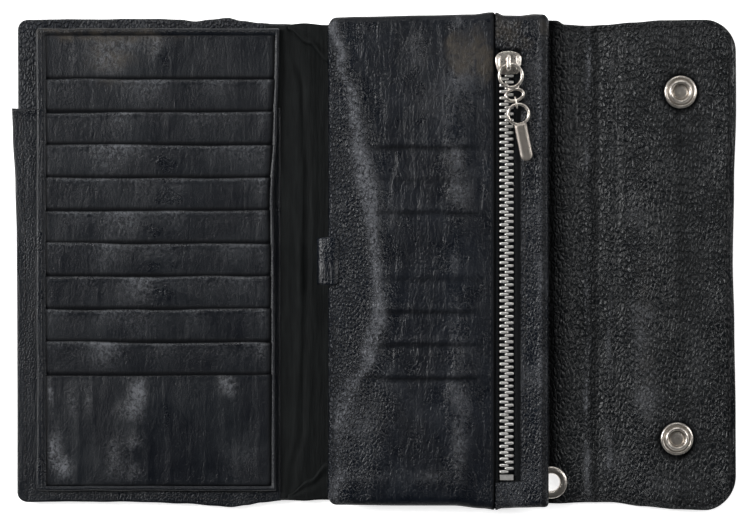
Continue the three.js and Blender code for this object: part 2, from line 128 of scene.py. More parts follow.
def creases(x, y, seed=0):
    """Sharp folds where the noise crosses zero: 1 on the fold, falling off either side."""
    return 1 - np.clip(np.abs(noise(x, y, seed)) * 3.2, 0, 1)


def bell(v, centre, width):
    return np.exp(-(((v - centre) / width) ** 2))


def spots(x, y, places, ragged=1.6):
    """Soft ragged patches: each place is centre x, centre y, reach x, reach y, strength."""
    u = x + ragged * noise(x / 4.5, y / 6.5, 211)
    v = y + ragged * noise(x / 5.5, y / 5.0, 212)
    total = 0.0
    for cx, cy, rx, ry, strength in places:
        total = total + strength * np.exp(-(((u - cx) / rx) ** 2) - ((v - cy) / ry) ** 2)
    return total


def step(v, lo, hi):
    t = np.clip((v - lo) / (hi - lo), 0, 1)
    return t * t * (3 - 2 * t)


def flat(value):
    """A map with the same value everywhere."""
    return lambda x, y: value + np.zeros_like(x)


def rolled(inward, width):
    """Drop of a rounded edge: 1 at the rim, 0 from width inwards, along a quarter circle."""
    k = np.clip(inward / width, 0, 1)
    return 1 - np.sqrt(np.clip(1 - (1 - k) ** 2, 0, 1))


def curve(points):
    """A smooth line through (where, value) points."""
    at, value = zip(*points)
    at, value = np.array(at, float), np.array(value, float)

    def f(v):
        v = np.asarray(v, float)
        i = np.clip(np.searchsorted(at, v) - 1, 0, len(at) - 2)
        t = np.clip((v - at[i]) / (at[i + 1] - at[i]), 0, 1)
        t = t * t * (3 - 2 * t)
        return value[i] * (1 - t) + value[i + 1] * t

    return f


# ------------------------------------------------------------------ meshes


def make_mesh(name, verts, quads, uv=None, attributes=None, mats=(), mat_index=None, smooth=True):
    verts = np.asarray(verts, float) * MM
    me = bpy.data.meshes.new(name)
    sizes = np.array([len(q) for q in quads])
    loops = np.concatenate([np.asarray(q) for q in quads]) if len(quads) else np.zeros(0, int)
    me.vertices.add(len(verts))
    me.vertices.foreach_set("co", verts.astype(np.float32).ravel())
    me.loops.add(len(loops))
    me.loops.foreach_set("vertex_index", loops.astype(np.int32))
    me.polygons.add(len(quads))
    me.polygons.foreach_set("loop_start", np.concatenate([[0], np.cumsum(sizes)[:-1]]).astype(np.int32))
    me.polygons.foreach_set("use_smooth", np.full(len(quads), smooth, bool))
    if mat_index is not None:
        me.polygons.foreach_set("material_index", np.asarray(mat_index, np.int32))
    me.update(calc_edges=True)
    layer = me.uv_layers.new(name="plan")
    plan = (verts[:, :2] * 10) if uv is None else np.asarray(uv, float) / 100
    layer.data.foreach_set("uv", plan[loops].astype(np.float32).ravel())
    for key, values in (attributes or {}).items():
        a = me.attributes.new(key, "FLOAT", "POINT")
        a.data.foreach_set("value", np.asarray(values, np.float32))
    me.validate()
    ob = bpy.data.objects.new(name, me)
    bpy.context.scene.collection.objects.link(ob)
    for m in mats:
        me.materials.append(m)
    return ob


def lines(lo, hi, pitch, dense_lo, dense_hi):
    n = max(2, int(round((hi - lo) / pitch)))
    xs = list(np.linspace(lo, hi, n + 1))
    for e in (0.1, 0.3, 0.6, 1.0):
        if dense_lo:
            xs.append(lo + e)
        if dense_hi:
            xs.append(hi - e)
    xs = np.sort(np.array(xs))
    return xs[np.concatenate([[True], np.diff(xs) > 0.06])]


def shell(x0, x1, y0, y1, bottom, thick, pitch=1.2, corners=(0, 0, 0, 0), seams="", top=None,
          under=None, lip=0.8, warp=None, hole=None):
    """One layer of leather as arrays: a top and an underside grid that meet in a rounded edge.
    corners: radii top left, top right, bottom right, bottom left.
    seams: sides that run on into a neighbour."""
    xs = lines(x0, x1, pitch, "L" not in seams, "R" not in seams)
    ys = lines(y0, y1, pitch, "B" not in seams, "T" not in seams)
    X, Y = np.meshgrid(xs, ys, indexing="ij")
    far = np.full_like(X, 1e3)
    d = np.minimum.reduce([
        far if "L" in seams else X - x0, far if "R" in seams else x1 - X,
        far if "B" in seams else Y - y0, far if "T" in seams else y1 - Y,
    ])
    U, V = X.copy(), Y.copy()
    places = [(x0, y1, 1, -1), (x1, y1, -1, -1), (x1, y0, -1, 1), (x0, y0, 1, 1)]
    for r, (ex, ey, sx, sy) in zip(corners, places):
        if not r:
            continue
        cx, cy = ex + sx * r, ey + sy * r
        a, b = np.clip((cx - X) * sx / r, 0, 1), np.clip((cy - Y) * sy / r, 0, 1)
        m = (a > 0) & (b > 0)
        U = np.where(m, cx - sx * r * a * np.sqrt(1 - b * b / 2), U)
        V = np.where(m, cy - sy * r * b * np.sqrt(1 - a * a / 2), V)
        d = np.where(m, r * (1 - np.sqrt(np.clip(a * a + b * b - a * a * b * b, 0, 1))), d)
    if warp is not None:
        dx, dy = warp(U, V)
        PX, PY = U + dx, V + dy
    else:
        PX, PY = U, V
    k = np.clip(d / lip, 0, 1)
    t = thick(U, V, d) if callable(thick) else np.full_like(U, thick)
    drop = 0.46 * t * (1 - np.sqrt(np.clip(1 - (1 - k) ** 2, 0, 1)))
    z = bottom(U, V) if callable(bottom) else np.full_like(U, bottom)
    zt = z + t - drop + (top(U, V, d) if top is not None else 0)
    zb = z + drop + (under(U, V, d) if under is not None else 0)
    nx, ny = len(xs), len(ys)
    idx = np.arange(nx * ny).reshape(nx, ny)
    keep = np.ones((nx - 1, ny - 1), bool)
    if hole is not None:
        mx = (U[:-1, :-1] + U[1:, 1:]) / 2
        my = (V[:-1, :-1] + V[1:, 1:]) / 2
        keep = ~hole(mx, my)
    q = np.stack([idx[:-1, :-1], idx[1:, :-1], idx[1:, 1:], idx[:-1, 1:]], -1)[keep]
    nb = nx * ny
    faces = [q, q[:, ::-1] + nb]

    def wall(line):
        return np.stack([line[:-1], line[:-1] + nb, line[1:] + nb, line[1:]], -1)

    if "B" not in seams:
        faces.append(wall(idx[:, 0]))
    if "T" not in seams:
        faces.append(wall(idx[::-1, -1]))
    if "L" not in seams:
        faces.append(wall(idx[0, ::-1]))
    if "R" not in seams:
        faces.append(wall(idx[-1, :]))
    verts = np.concatenate([
        np.stack([PX, PY, zt], -1).reshape(-1, 3), np.stack([PX, PY, zb], -1).reshape(-1, 3)])
    uv = np.concatenate([np.stack([U, V], -1).reshape(-1, 2)] * 2)
    is_top = np.concatenate([np.ones(nb), np.zeros(nb)])
    edge = np.concatenate([d.ravel(), d.ravel()])
    return {
        "verts": verts, "faces": list(np.concatenate(faces)), "uv": uv, "top": is_top, "edge": edge,
        "xs": xs, "ys": ys, "zt": zt, "zb": zb, "px": PX, "py": PY,
    }


def at(s, x, y, under=False):
    """The plan place and height of a shell's surface over x, y."""
    xs, ys = s["xs"], s["ys"]
    i = int(np.clip(np.searchsorted(xs, x) - 1, 0, len(xs) - 2))
    j = int(np.clip(np.searchsorted(ys, y) - 1, 0, len(ys) - 2))
    a = min(max((x - xs[i]) / (xs[i + 1] - xs[i]), 0), 1)
    b = min(max((y - ys[j]) / (ys[j + 1] - ys[j]), 0), 1)

    def mix(g):
        return ((g[i, j] * (1 - a) + g[i + 1, j] * a) * (1 - b)
                + (g[i, j + 1] * (1 - a) + g[i + 1, j + 1] * a) * b)

    return np.array([mix(s["px"]), mix(s["py"]), mix(s["zb" if under else "zt"])])


def stitches(s, path, pitch=3.0, length=2.3, r=0.24, under=False, lift=0.1):
    """Thread along a plan path on a shell: one short arched bead per stitch."""
    path = np.array(path, float)
    seg = np.diff(path, axis=0)
    run = np.concatenate([[0], np.cumsum(np.hypot(seg[:, 0], seg[:, 1]))])
    count = int(run[-1] / pitch)
    verts, faces = [], []
    sides, rows = 6, 5
    for n in range(count):
        mid = (n + 0.5) * run[-1] / count
        ends = []
        for v in np.linspace(mid - length / 2, mid + length / 2, rows):
            ends.append((np.interp(v, run, path[:, 0]), np.interp(v, run, path[:, 1])))
        ring = [at(s, x, y, under) for x, y in ends]
        along = ring[-1] - ring[0]
        along = along / (np.linalg.norm(along) + 1e-9)
        side = np.cross((0, 0, 1), along)
        side = side / (np.linalg.norm(side) + 1e-9)
        up = np.cross(along, side)
        flip = -1 if under else 1
        base = len(verts)
        for i, p in enumerate(ring):
            t = 2 * i / (rows - 1) - 1
            centre = p + np.array([0, 0, flip * (lift * (1 - t * t) - 0.16 * t * t)])
            radius = r * math.sqrt(max(0.12, 1 - 0.9 * t * t))
            for k in range(sides):
                a = 2 * math.pi * k / sides
                verts.append(centre + radius * (math.cos(a) * side + math.sin(a) * up))
        for i in range(rows - 1):
            for k in range(sides):
                a, b = base + i * sides + k, base + i * sides + (k + 1) % sides
                faces.append([a, a + sides, b + sides, b])
        faces.append([base + k for k in range(sides)])
        faces.append([base + (rows - 1) * sides + k for k in range(sides)][::-1])
    return verts, faces


def build(name, s, mats, sewn=(), paint=None, body=None, replaces=(), blend=None, squash=None):
    """Turns a shell and the stitches on it into a piece."""
    verts, faces = s["verts"], list(s["faces"])
    uv, top, edge = s["uv"], s["top"], s["edge"]
    index = [0] * len(faces)
    for sv, sf in sewn:
        if not sv:
            continue
        n = len(verts)
        sv = np.array(sv)
        verts = np.concatenate([verts, sv])
        uv = np.concatenate([uv, sv[:, :2]])
        top = np.concatenate([top, np.ones(len(sv))])
        edge = np.concatenate([edge, np.full(len(sv), 9.0)])
        faces += [[n + i for i in f] for f in sf]
        index += [1] * len(sf)
    attributes = {"edge": np.clip(edge, 0, 30) / 30}
    for key in ("wear", "gloss", "grain", "scuff_and_painted_sheen", "painted_shade_and_edge_ink"):
        f = (paint or {}).get(key)
        values = np.zeros(len(verts)) if f is None else np.broadcast_to(f(uv[:, 0], uv[:, 1]), len(verts))
        attributes[key] = np.clip(values, 0, 1)
    ob = make_mesh(name, verts, faces, uv, attributes, mats, index)
    finish_piece(ob, body, replaces, blend, squash)
    return ob


def finish_piece(ob, body=None, replaces=(), blend=None, squash=None):
    if replaces:
        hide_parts(*replaces)
    if blend:
        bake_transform(ob)
    elif body:
        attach(ob, body)
    if squash:
        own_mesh(ob)
    return ob


# ------------------------------------------------------------------ materials


class Nodes:
    """Short calls for building a node tree."""

    def __init__(self, name):
        self.mat = bpy.data.materials.new(name)
        self.mat.use_nodes = True
        self.tree = self.mat.node_tree
        self.tree.nodes.clear()
        self.out = self.tree.nodes.new("ShaderNodeOutputMaterial")
        self.bsdf = self.tree.nodes.new("ShaderNodeBsdfPrincipled")
        self.tree.links.new(self.bsdf.outputs[0], self.out.inputs[0])

    def node(self, kind, inputs=None, **props):
        n = self.tree.nodes.new(kind)
        for k, v in props.items():
            setattr(n, k, v)
        for k, v in (inputs or {}).items():
            self.put(n.inputs[k], v)
        return n

    def put(self, socket, value):
        if isinstance(value, bpy.types.NodeSocket):
            self.tree.links.new(value, socket)
        else:
            socket.default_value = value

    def plan(self, sx=1.0, sy=1.0):
        uv = self.node("ShaderNodeUVMap", uv_map="plan")
        m = self.node("ShaderNodeMapping", {"Vector": uv.outputs[0], "Scale": (sx, sy, 1)})
        return m.outputs[0]

    def attr(self, name):
        return self.node("ShaderNodeAttribute", attribute_name=name).outputs["Fac"]

    def math(self, op, a, b=0.0, c=None, clamp=False):
        n = self.tree.nodes.new("ShaderNodeMath")
        n.operation, n.use_clamp = op, clamp
        self.put(n.inputs[0], a)
        self.put(n.inputs[1], b)
        if c is not None:
            self.put(n.inputs[2], c)
        return n.outputs[0]

    def noise(self, vector, scale, detail=3.0, rough=0.55, distort=0.0):
        n = self.node("ShaderNodeTexNoise", {
            "Vector": vector, "Scale": scale, "Detail": detail, "Roughness": rough, "Distortion": distort})
        return n.outputs["Fac"]

    def ramp(self, fac, lo, hi, a=0.0, b=1.0):
        n = self.node("ShaderNodeMapRange",
                      {"Value": fac, "From Min": lo, "From Max": hi, "To Min": a, "To Max": b})
        n.interpolation_type = "SMOOTHSTEP"
        return n.outputs[0]

    def mix(self, fac, a, b):
        n = self.tree.nodes.new("ShaderNodeMix")
        n.data_type = "RGBA"
        self.put(n.inputs[0], fac)
        self.put(n.inputs[6], a)
        self.put(n.inputs[7], b)
        return n.outputs[2]

    def bump(self, height, distance, strength=1.0, normal=None):
        n = self.node("ShaderNodeBump", {"Height": height, "Distance": distance, "Strength": strength})
        if normal is not None:
            self.put(n.inputs["Normal"], normal)
        return n.outputs[0]


def rgb(r, g, b):
    return (r, g, b, 1.0)


def leather(name, dark, light, worn, cell=1.4, stretch=1.6, pebble=1.0, wrinkle=1.0, rough=0.5,
            specular=0.36):
    """Grained leather. cell is the pebble size in mm, stretch how much longer a pebble is along Y.
    Painted on the mesh: wear (dye rubbed off), a mask of scuffs with painted sheen, a mask of painted shade
    with dark edge ink on some rims, grain, gloss."""
    n = Nodes(name)
    wear, gloss, grain, edge = n.attr("wear"), n.attr("gloss"), n.attr("grain"), n.attr("edge")
    scuff_and_painted_sheen, painted_shade_and_edge_ink = n.attr("scuff_and_painted_sheen"), n.attr("painted_shade_and_edge_ink")
    flat = n.plan()
    long = n.plan(1.0, 1.0 / stretch)
    shift = n.node("ShaderNodeVectorMath", operation="MULTIPLY_ADD")
    warp = n.node("ShaderNodeTexNoise", {"Vector": flat, "Scale": 40.0, "Detail": 3.0})
    n.put(shift.inputs[0], warp.outputs["Color"])
    shift.inputs[1].default_value = (0.016, 0.016, 0.0)
    n.put(shift.inputs[2], long)

    def cells(scale, smooth=0.35):
        v = n.node("ShaderNodeTexVoronoi", {"Vector": shift.outputs[0], "Scale": scale, "Randomness": 1.0},
                   feature="SMOOTH_F1")
        v.voronoi_dimensions = "2D"
        v.inputs["Smoothness"].default_value = smooth
        return n.math("SUBTRACT", 1.0, n.math("POWER", v.outputs["Distance"], 1.6))

    edges = n.node("ShaderNodeTexVoronoi",
                   {"Vector": shift.outputs[0], "Scale": 100.0 / cell, "Randomness": 1.0},
                   feature="DISTANCE_TO_EDGE")
    edges.voronoi_dimensions = "2D"
    domes = n.ramp(edges.outputs["Distance"], -0.06, 0.34)
    groove = n.ramp(edges.outputs["Distance"], 0.0, 0.13, 1.0, 0.0)
    seeds = cells(230.0 / cell, 0.5)
    fine = n.noise(long, 520, 3, 0.6)
    patchy = n.ramp(n.noise(flat, 7, 3), 0.3, 0.7, 0.55, 1.15)
    amount = n.math("MULTIPLY", n.math("MULTIPLY_ADD", grain, 0.9, 0.10), patchy)
    height = n.math("MULTIPLY", domes, n.math("MULTIPLY", amount, pebble))
    height = n.math("MULTIPLY_ADD", seeds, n.math("MULTIPLY", amount, 0.35 * pebble), height)
    height = n.math("MULTIPLY_ADD", fine, 0.10, height)
    # soft ripples that run along Y, and scuffs that break up the sheen
    ripple = n.noise(n.plan(1.0, 0.22), 30, 4, 0.6, 0.5)
    scuff = n.noise(n.plan(1.0, 0.8), 85, 5, 0.7, 0.8)
    height = n.math("MULTIPLY_ADD", n.math("MULTIPLY", scuff, n.math("ADD", scuff_and_painted_sheen, 0.12)), 1.3, height)
    normal = n.bump(ripple, 0.0012 * wrinkle, 0.5)
    normal = n.bump(height, 0.00062, 0.9, normal)
    n.put(n.bsdf.inputs["Normal"], normal)

    cloud = n.noise(flat, 4.5, 5, 0.65)
    colour = n.mix(n.ramp(cloud, 0.38, 0.66), rgb(*dark), rgb(*light))
    # Painted highlight: the tops of the pebbles are lightened.
    painted_crest_highlight = n.math("MULTIPLY", n.ramp(domes, 0.6, 1.0), n.math("MULTIPLY", amount, 0.4))
    colour = n.mix(painted_crest_highlight, colour, rgb(*[c * 1.8 for c in light]))
    # Painted sheen: a pale bluish white (0.150, 0.156, 0.172) is mixed in where the sheen mask is high,
    # broken up by scuff noise; the same mask also strengthens the scuff bumps above.
    broken = n.math("MULTIPLY_ADD", scuff, 0.75, n.math("MULTIPLY", cloud, 0.35))
    streaks = n.ramp(n.math("MULTIPLY_ADD", scuff_and_painted_sheen, 0.10, broken), 0.52, 0.74)
    sheen = n.math("MULTIPLY", scuff_and_painted_sheen, streaks)
    colour = n.mix(sheen, colour, rgb(0.150, 0.156, 0.172))
    mottle = n.math("MULTIPLY_ADD", n.noise(flat, 22, 6, 0.72, 0.6), 2.0, -0.45)
    rubbed = n.ramp(n.math("MULTIPLY", wear, mottle), 0.10, 0.80, 0.0, 0.8)
    colour = n.mix(rubbed, colour, rgb(*worn))
    # Painted shade: the grooves between the pebbles are darkened.
    colour = n.mix(n.math("MULTIPLY", groove, n.math("MULTIPLY", amount, 0.75)), colour,
                   rgb(*[c * 0.35 for c in dark]))
    colour = n.mix(n.ramp(edge, 0.0, 0.035, 0.6, 0.0), colour, rgb(*[c * 0.5 for c in dark]))
    # Painted shade in creases, grooves and under edges, plus dark edge ink on some rims: the colour goes to
    # near black there; further down the same mask raises roughness and lowers specular.
    colour = n.mix(n.math("MULTIPLY", painted_shade_and_edge_ink, 0.9), colour, rgb(0.0012, 0.0013, 0.0016))
    n.put(n.bsdf.inputs["Base Color"], colour)

    r = n.math("MULTIPLY_ADD", n.noise(flat, 9, 4, 0.65), 0.24, rough - 0.10)
    r = n.math("SUBTRACT", r, n.math("MULTIPLY", gloss, 0.15))
    r = n.math("MULTIPLY_ADD", groove, n.math("MULTIPLY", amount, 0.35), r)
    r = n.math("MULTIPLY_ADD", rubbed, 0.10, r)
    r = n.math("MULTIPLY_ADD", painted_shade_and_edge_ink, 0.35, r, clamp=True)
    n.put(n.bsdf.inputs["Roughness"], r)
    # Specular falls where shade is painted.
    n.put(n.bsdf.inputs["Specular IOR Level"],
          n.math("MULTIPLY_ADD", painted_shade_and_edge_ink, -0.9 * specular, specular, clamp=True))
    return n.mat


def lining(name, dark, light):
    """Thin matte skiver leather with fine creases along the fold."""
    n = Nodes(name)
    flat = n.plan()
    streak = n.noise(n.plan(1.0, 0.12), 60, 4, 0.65)
    grain = n.noise(flat, 300, 3)
    colour = n.mix(n.ramp(streak, 0.35, 0.7), rgb(*dark), rgb(*light))
    n.put(n.bsdf.inputs["Base Color"], colour)
    n.put(n.bsdf.inputs["Roughness"], n.math("MULTIPLY_ADD", n.noise(flat, 30, 3), 0.2, 0.6))
    n.bsdf.inputs["Specular IOR Level"].default_value = 0.2
    height = n.math("MULTIPLY_ADD", grain, 0.3, streak)
    n.put(n.bsdf.inputs["Normal"], n.bump(height, 0.0005, 0.6))
    return n.mat


def woven(name):
    """Twill zip tape."""
    n = Nodes(name)
    a = n.node("ShaderNodeTexWave", {"Vector": n.plan(), "Scale": 75.0, "Distortion": 0.6, "Detail": 1.0})
    a.bands_direction = "DIAGONAL"
    b = n.node("ShaderNodeTexWave", {"Vector": n.plan(1, -1), "Scale": 75.0, "Distortion": 0.4})
    b.bands_direction = "DIAGONAL"
    height = n.math("MULTIPLY", a.outputs["Fac"], b.outputs["Fac"])
    n.put(n.bsdf.inputs["Base Color"], n.mix(height, rgb(0.004, 0.005, 0.006), rgb(0.014, 0.015, 0.017)))
    n.bsdf.inputs["Roughness"].default_value = 0.85
    n.bsdf.inputs["Specular IOR Level"].default_value = 0.2
    n.put(n.bsdf.inputs["Normal"], n.bump(height, 0.0003, 0.8))
    return n.mat


def thread(name):
    """Waxed black thread, with its twist."""
    n = Nodes(name)
    geo = n.node("ShaderNodeTexCoord").outputs["Object"]
    twist = n.node("ShaderNodeTexWave", {"Vector": geo, "Scale": 900.0, "Distortion": 0.5})
    twist.bands_direction = "DIAGONAL"
    n.put(n.bsdf.inputs["Base Color"], n.mix(twist.outputs["Fac"], rgb(0.008, 0.008, 0.009),
                                             rgb(0.030, 0.030, 0.032)))
    n.bsdf.inputs["Roughness"].default_value = 0.5
    n.bsdf.inputs["Specular IOR Level"].default_value = 0.35
    n.put(n.bsdf.inputs["Normal"], n.bump(twist.outputs["Fac"], 0.00008, 0.6))
    return n.mat


def metal(name, bright, tarnish, rough=0.24, scratches=1.0):
    """Silver-coloured metal: polished where it is rubbed, dark where it isn't."""
    n = Nodes(name)
    geo = n.node("ShaderNodeTexCoord").outputs["Object"]
    spots = n.noise(geo, 520, 4, 0.6)
    grime = n.noise(geo, 1500, 3, 0.7)
    point = n.node("ShaderNodeNewGeometry").outputs["Pointiness"]
    recess = n.ramp(point, 0.47, 0.53)
    clean = n.math("MULTIPLY", recess, n.ramp(n.math("ADD", spots, n.math("MULTIPLY", grime, 0.4)), 0.42,
                                              0.74))
    clean = n.math("MULTIPLY_ADD", clean, 0.6, 0.4)
    n.put(n.bsdf.inputs["Base Color"], n.mix(clean, rgb(*tarnish), rgb(*bright)))
    n.bsdf.inputs["Metallic"].default_value = 1.0
    r = n.math("MULTIPLY_ADD", n.noise(geo, 900, 3), 0.18, rough - 0.06)
    n.put(n.bsdf.inputs["Roughness"], n.math("MULTIPLY_ADD", n.math("SUBTRACT", 1.0, clean), 0.25, r))
    n.put(n.bsdf.inputs["Normal"], n.bump(n.noise(geo, 1300, 4, 0.7), 0.00004 * scratches, 0.6))
    return n.mat


DARK, LIGHT, WORN = (0.0016, 0.0028, 0.0056), (0.0042, 0.0064, 0.0108), (0.050, 0.040, 0.028)
M_COVER = leather("cover_leather", DARK, LIGHT, WORN, cell=1.5, stretch=1.3, pebble=0.9, rough=0.45)
M_FACING = leather("facing_leather", (0.0020, 0.0030, 0.0042), (0.0055, 0.0068, 0.0080),
                   (0.030, 0.026, 0.022),
                   cell=1.5, stretch=1.7, pebble=1.0, wrinkle=1.0, rough=0.33)
M_LEAF = leather("leaf_leather", DARK, LIGHT, WORN, cell=1.3, stretch=1.4, pebble=0.75, rough=0.30)
M_CARD = leather("card_leather", DARK, (0.0048, 0.0068, 0.0098), WORN, cell=1.1, stretch=1.1, pebble=0.4,
                 wrinkle=0.45, rough=0.38)
M_LINING = lining("lining", (0.0026, 0.0036, 0.0038), (0.0075, 0.0092, 0.0092))
M_TAPE = woven("zip_tape")
M_THREAD = thread("thread")
M_SILVER = metal("silver", (0.82, 0.76, 0.69), (0.09, 0.072, 0.056), rough=0.25)
M_TEETH = metal("zip_metal", (0.94, 0.92, 0.89), (0.32, 0.30, 0.28), rough=0.38)

# ------------------------------------------------------------------ the outline of the opened wallet

# How far the cover's top and bottom edges stray from straight, from use.
top_stray = curve([
    (-141, 0), (-120, 0.1), (-95, 0.3), (-76, 0.2), (-70, -0.7), (-64, 0.1), (-57, 0.9), (-52, -0.4),
    (-45, -1.3),
    (-38, -1.8), (-20, -2.0), (0, -1.2), (60, -1.0), (67, -0.2), (71, -0.3), (74, -1.9), (80, -2.2),
    (90, -2.0),
    (100, -1.2), (112, -0.3), (126, -0.1), (141, -0.6)])
bottom_stray = curve([
    (-141, 1.1), (-100, 1.2), (-75, 0.6), (-62, -0.4), (-56, -0.8), (-50, -0.2), (-44, 0.8), (-36, 1.5),
    (-20, 1.6),
    (20, 1.0), (60, 0.8), (72, 0.3), (84, 0.9), (92, 0.8), (104, -0.6), (118, -1.7), (130, -2.1),
    (141, -1.4)])
right_stray = curve([(-95, -0.4), (-60, -0.5), (-25, -1.0), (0, -1.6), (30, -1.1), (60, -0.3), (95, -0.5)])
left_stray = curve([(-95, 0.3), (-60, 0.1), (-20, 0.4), (20, 0.2), (60, 0.3), (95, 0.2)])


def cover_warp(x, y):
    up, down = np.clip(y / HALF_H, 0, 1) ** 4, np.clip(-y / HALF_H, 0, 1) ** 4
    dy = top_stray(x) * up + bottom_stray(x) * down
    dy = dy + 0.18 * noise(x / 7.0, 3.3, 5) * (up + down)
    right, left = step(x, WRAP_D + 6, 141), step(-x, 120, 141)
    return right_stray(y) * right + left_stray(y) * left, dy


def ramp(x, lo, hi):
    t = np.clip((x - lo) / (hi - lo), 0, 1)
    return 0.35 * t + 0.65 * t * t * (3 - 2 * t)


def cover_z(x, y=0):
    """Underside of the cover: on the table under the block, held up by the snaps at both ends."""
    z = STAND * (1 - ramp(x, SPINE_B, SPINE_A)) + STAND * ramp(x, WRAP_C, WRAP_D)
    return z + np.zeros_like(y * 1.0)


SEAMS = [(SPINE_A + SPINE_B) / 2, (SPINE_A + WRAP_C) / 2, (WRAP_C + WRAP_D) / 2]


def off_seams(x, reach=3.0):
    """0 on the lines where two modelled pieces of one leather meet, 1 away from them."""
    k = 1.0
    for s in SEAMS:
        k = k * step(np.abs(x - s), 0.4, reach)
    return k


def cover_under(x, y, d):
    """The outside of the cover: soft dents over what lies behind it."""
    k = off_seams(x)
    z = 0.10 * fbm(x / 16, y / 22, 31) * k + 0.05 * creases(x / 6, y / 19, 32) * k
    z = z + 0.12 * bell(d, 3.0, 0.7)
    return np.maximum(z, -0.02)


def cover_part(name, x0, x1, seams, corners, blend, replaces, sew):
    s = shell(x0, x1, -HALF_H, HALF_H, cover_z, COVER_T, pitch=1.6, corners=corners, seams=seams,
              under=cover_under, warp=cover_warp, lip=1.0)
    sewn = [stitches(s, path, under=True, lift=0.08) for path in sew]
    paint = {
        "grain": lambda x, y: 0.55 + 0.25 * noise(x / 30, y / 30, 8),
        "gloss": lambda x, y: 0.3 + 0.3 * noise(x / 14, y / 25, 9),
        # Painted sheen: random bright patches.
        "scuff_and_painted_sheen": lambda x, y: 0.35 * step(noise(x / 5, y / 12, 12), 0.1, 0.9),
        "wear": lambda x, y: 0.5 * np.maximum.reduce([
            bell(x, SPINE_A, 3), bell(x, SPINE_B, 3), bell(x, WRAP_C, 3), bell(x, WRAP_D, 3)])
        * (0.6 + 0.5 * noise(x / 5, y / 12, 10)),
    }
    return build(name, s, [M_COVER, M_THREAD], sewn, paint, blend=blend, replaces=replaces)


def cover():
    left, right = box("front_cover")[0][0], box("flap_cover")[1][0]
    e, h = 3.0, HALF_H
    bend = 2.6
    m0, m1, m2 = SEAMS
    cover_part("cover_front", left, m0, "R", (4, 0, 0, 4), ("front", "spine", SPINE_B, bend), ["front_cover"],
               [[(m0 - 1, h - e), (left + e, h - e), (left + e, -h + e), (m0 - 1, -h + e)]])
    cover_part("cover_back_left", m0, m1, "LR", (0,) * 4, ("spine", "back", SPINE_A, bend), ["spine_cover"],
               [[(m0 + 1, h - e), (m1 - 1, h - e)], [(m0 + 1, -h + e), (m1 - 1, -h + e)]])
    cover_back_right(m1, m2, e, h, bend)
    cover_part("cover_flap", m2, right, "L", (0, 12, 12, 0), ("wrap", "flap", WRAP_D, bend), ["flap_cover"],
               [[(m2 + 1, h - e), (right - 12, h - e), (right - 5.6, h - 5.6), (right - e, h - 12),
                 (right - e, -h + 12), (right - 5.6, -h + 5.6), (right - 12, -h + e), (m2 + 1, -h + e)]])


GROMMET = ((box("grommet_eyelet")[0][0] + box("grommet_eyelet")[1][0]) / 2,
           (box("grommet_eyelet")[0][1] + box("grommet_eyelet")[1][1]) / 2)


def through_grommet(x, y):
    return np.hypot(x - GROMMET[0], y - GROMMET[1]) < 4.6


def cover_back_right(m1, m2, e, h, bend):
    s = shell(m1, m2, -HALF_H, HALF_H, cover_z, COVER_T, pitch=1.6, seams="LR", under=cover_under,
              warp=cover_warp, lip=1.0, hole=through_grommet)
    sewn = [stitches(s, p, under=True, lift=0.08) for p in (
        [(m1 + 1, h - e), (m2 - 1, h - e)], [(m1 + 1, -h + e), (m2 - 1, -h + e)])]
    paint = {
        "grain": lambda x, y: 0.65 + 0.25 * noise(x / 30, y / 30, 8),
        "gloss": lambda x, y: 0.3 + 0.3 * noise(x / 14, y / 25, 9),
        "wear": lambda x, y: 0.5 * np.maximum(bell(x, WRAP_C, 3), bell(x, SPINE_A, 3)),
    }
    build("cover_back_right", s, [M_COVER, M_THREAD], sewn, paint, blend=("back", "wrap", WRAP_C, bend),
          replaces=["back_cover", "wrap_cover"])


cover()

# ------------------------------------------------------------------ the facing of the flap

FACING_LEFT = box("back_facing")[0][0]
FACING_Z = box("flap_facing")[0][2] - STAND
SOCKETS = []
for i in (1, 2):
    lo, hi = box(f"snap_socket_{i}")
    SOCKETS.append(((lo[0] + hi[0]) / 2, (lo[1] + hi[1]) / 2))


def facing_top(x, y, d):
    k = off_seams(x, 2.0)
    near = step(x, 118, 134)
    z = 0.42 * fbm(x / 15, y / 38, 51) * k
    # long folds along the free edge
    z = z + near * k * 0.50 * creases(x / 5.0 + 0.5 * noise(x / 20, y / 20, 52), y / 34, 53)
    z = z - near * k * 0.32 * creases(x / 3.6, y / 19, 54)
    # the two rolls where the flap turns round the closed wallet
    z = z + 0.80 * bell(x, 83.2 + 1.0 * noise(3, y / 16, 65), 1.5) * (0.75 + 0.35 * noise(1, y / 18, 56))
    z = z + 0.45 * bell(x, 91.0 + 1.3 * noise(6, y / 15, 67), 1.3) * (0.7 + 0.4 * noise(1, y / 22, 57))
    z = z - 0.45 * bell(x, 87.0, 1.8) + 0.35 * bell(x, 104, 5)
    z = z - 0.18 * bell(x, 98.6 + noise(2, y / 24, 60), 1.5) * k
    # finer cross wrinkles
    z = z + 0.10 * k * creases(x / 7.5, y / 5.0, 58) * step(x, 98, 112)
    z = z + 0.09 * k * fbm(x / 3.6, y / 6.2, 59)
    z = z - 0.22 * bell(d, 2.2, 0.55)
    for sx, sy in SOCKETS:
        r = np.hypot(x - sx, y - sy)
        z = z * step(r, 6.5, 10) - 0.05 * bell(r, 7.6, 1.6)
    r = np.hypot(x - GROMMET[0], y - GROMMET[1])
    z = z * step(r, 6.6, 9.5)
    return z * step(d, 0.1, 1.6)


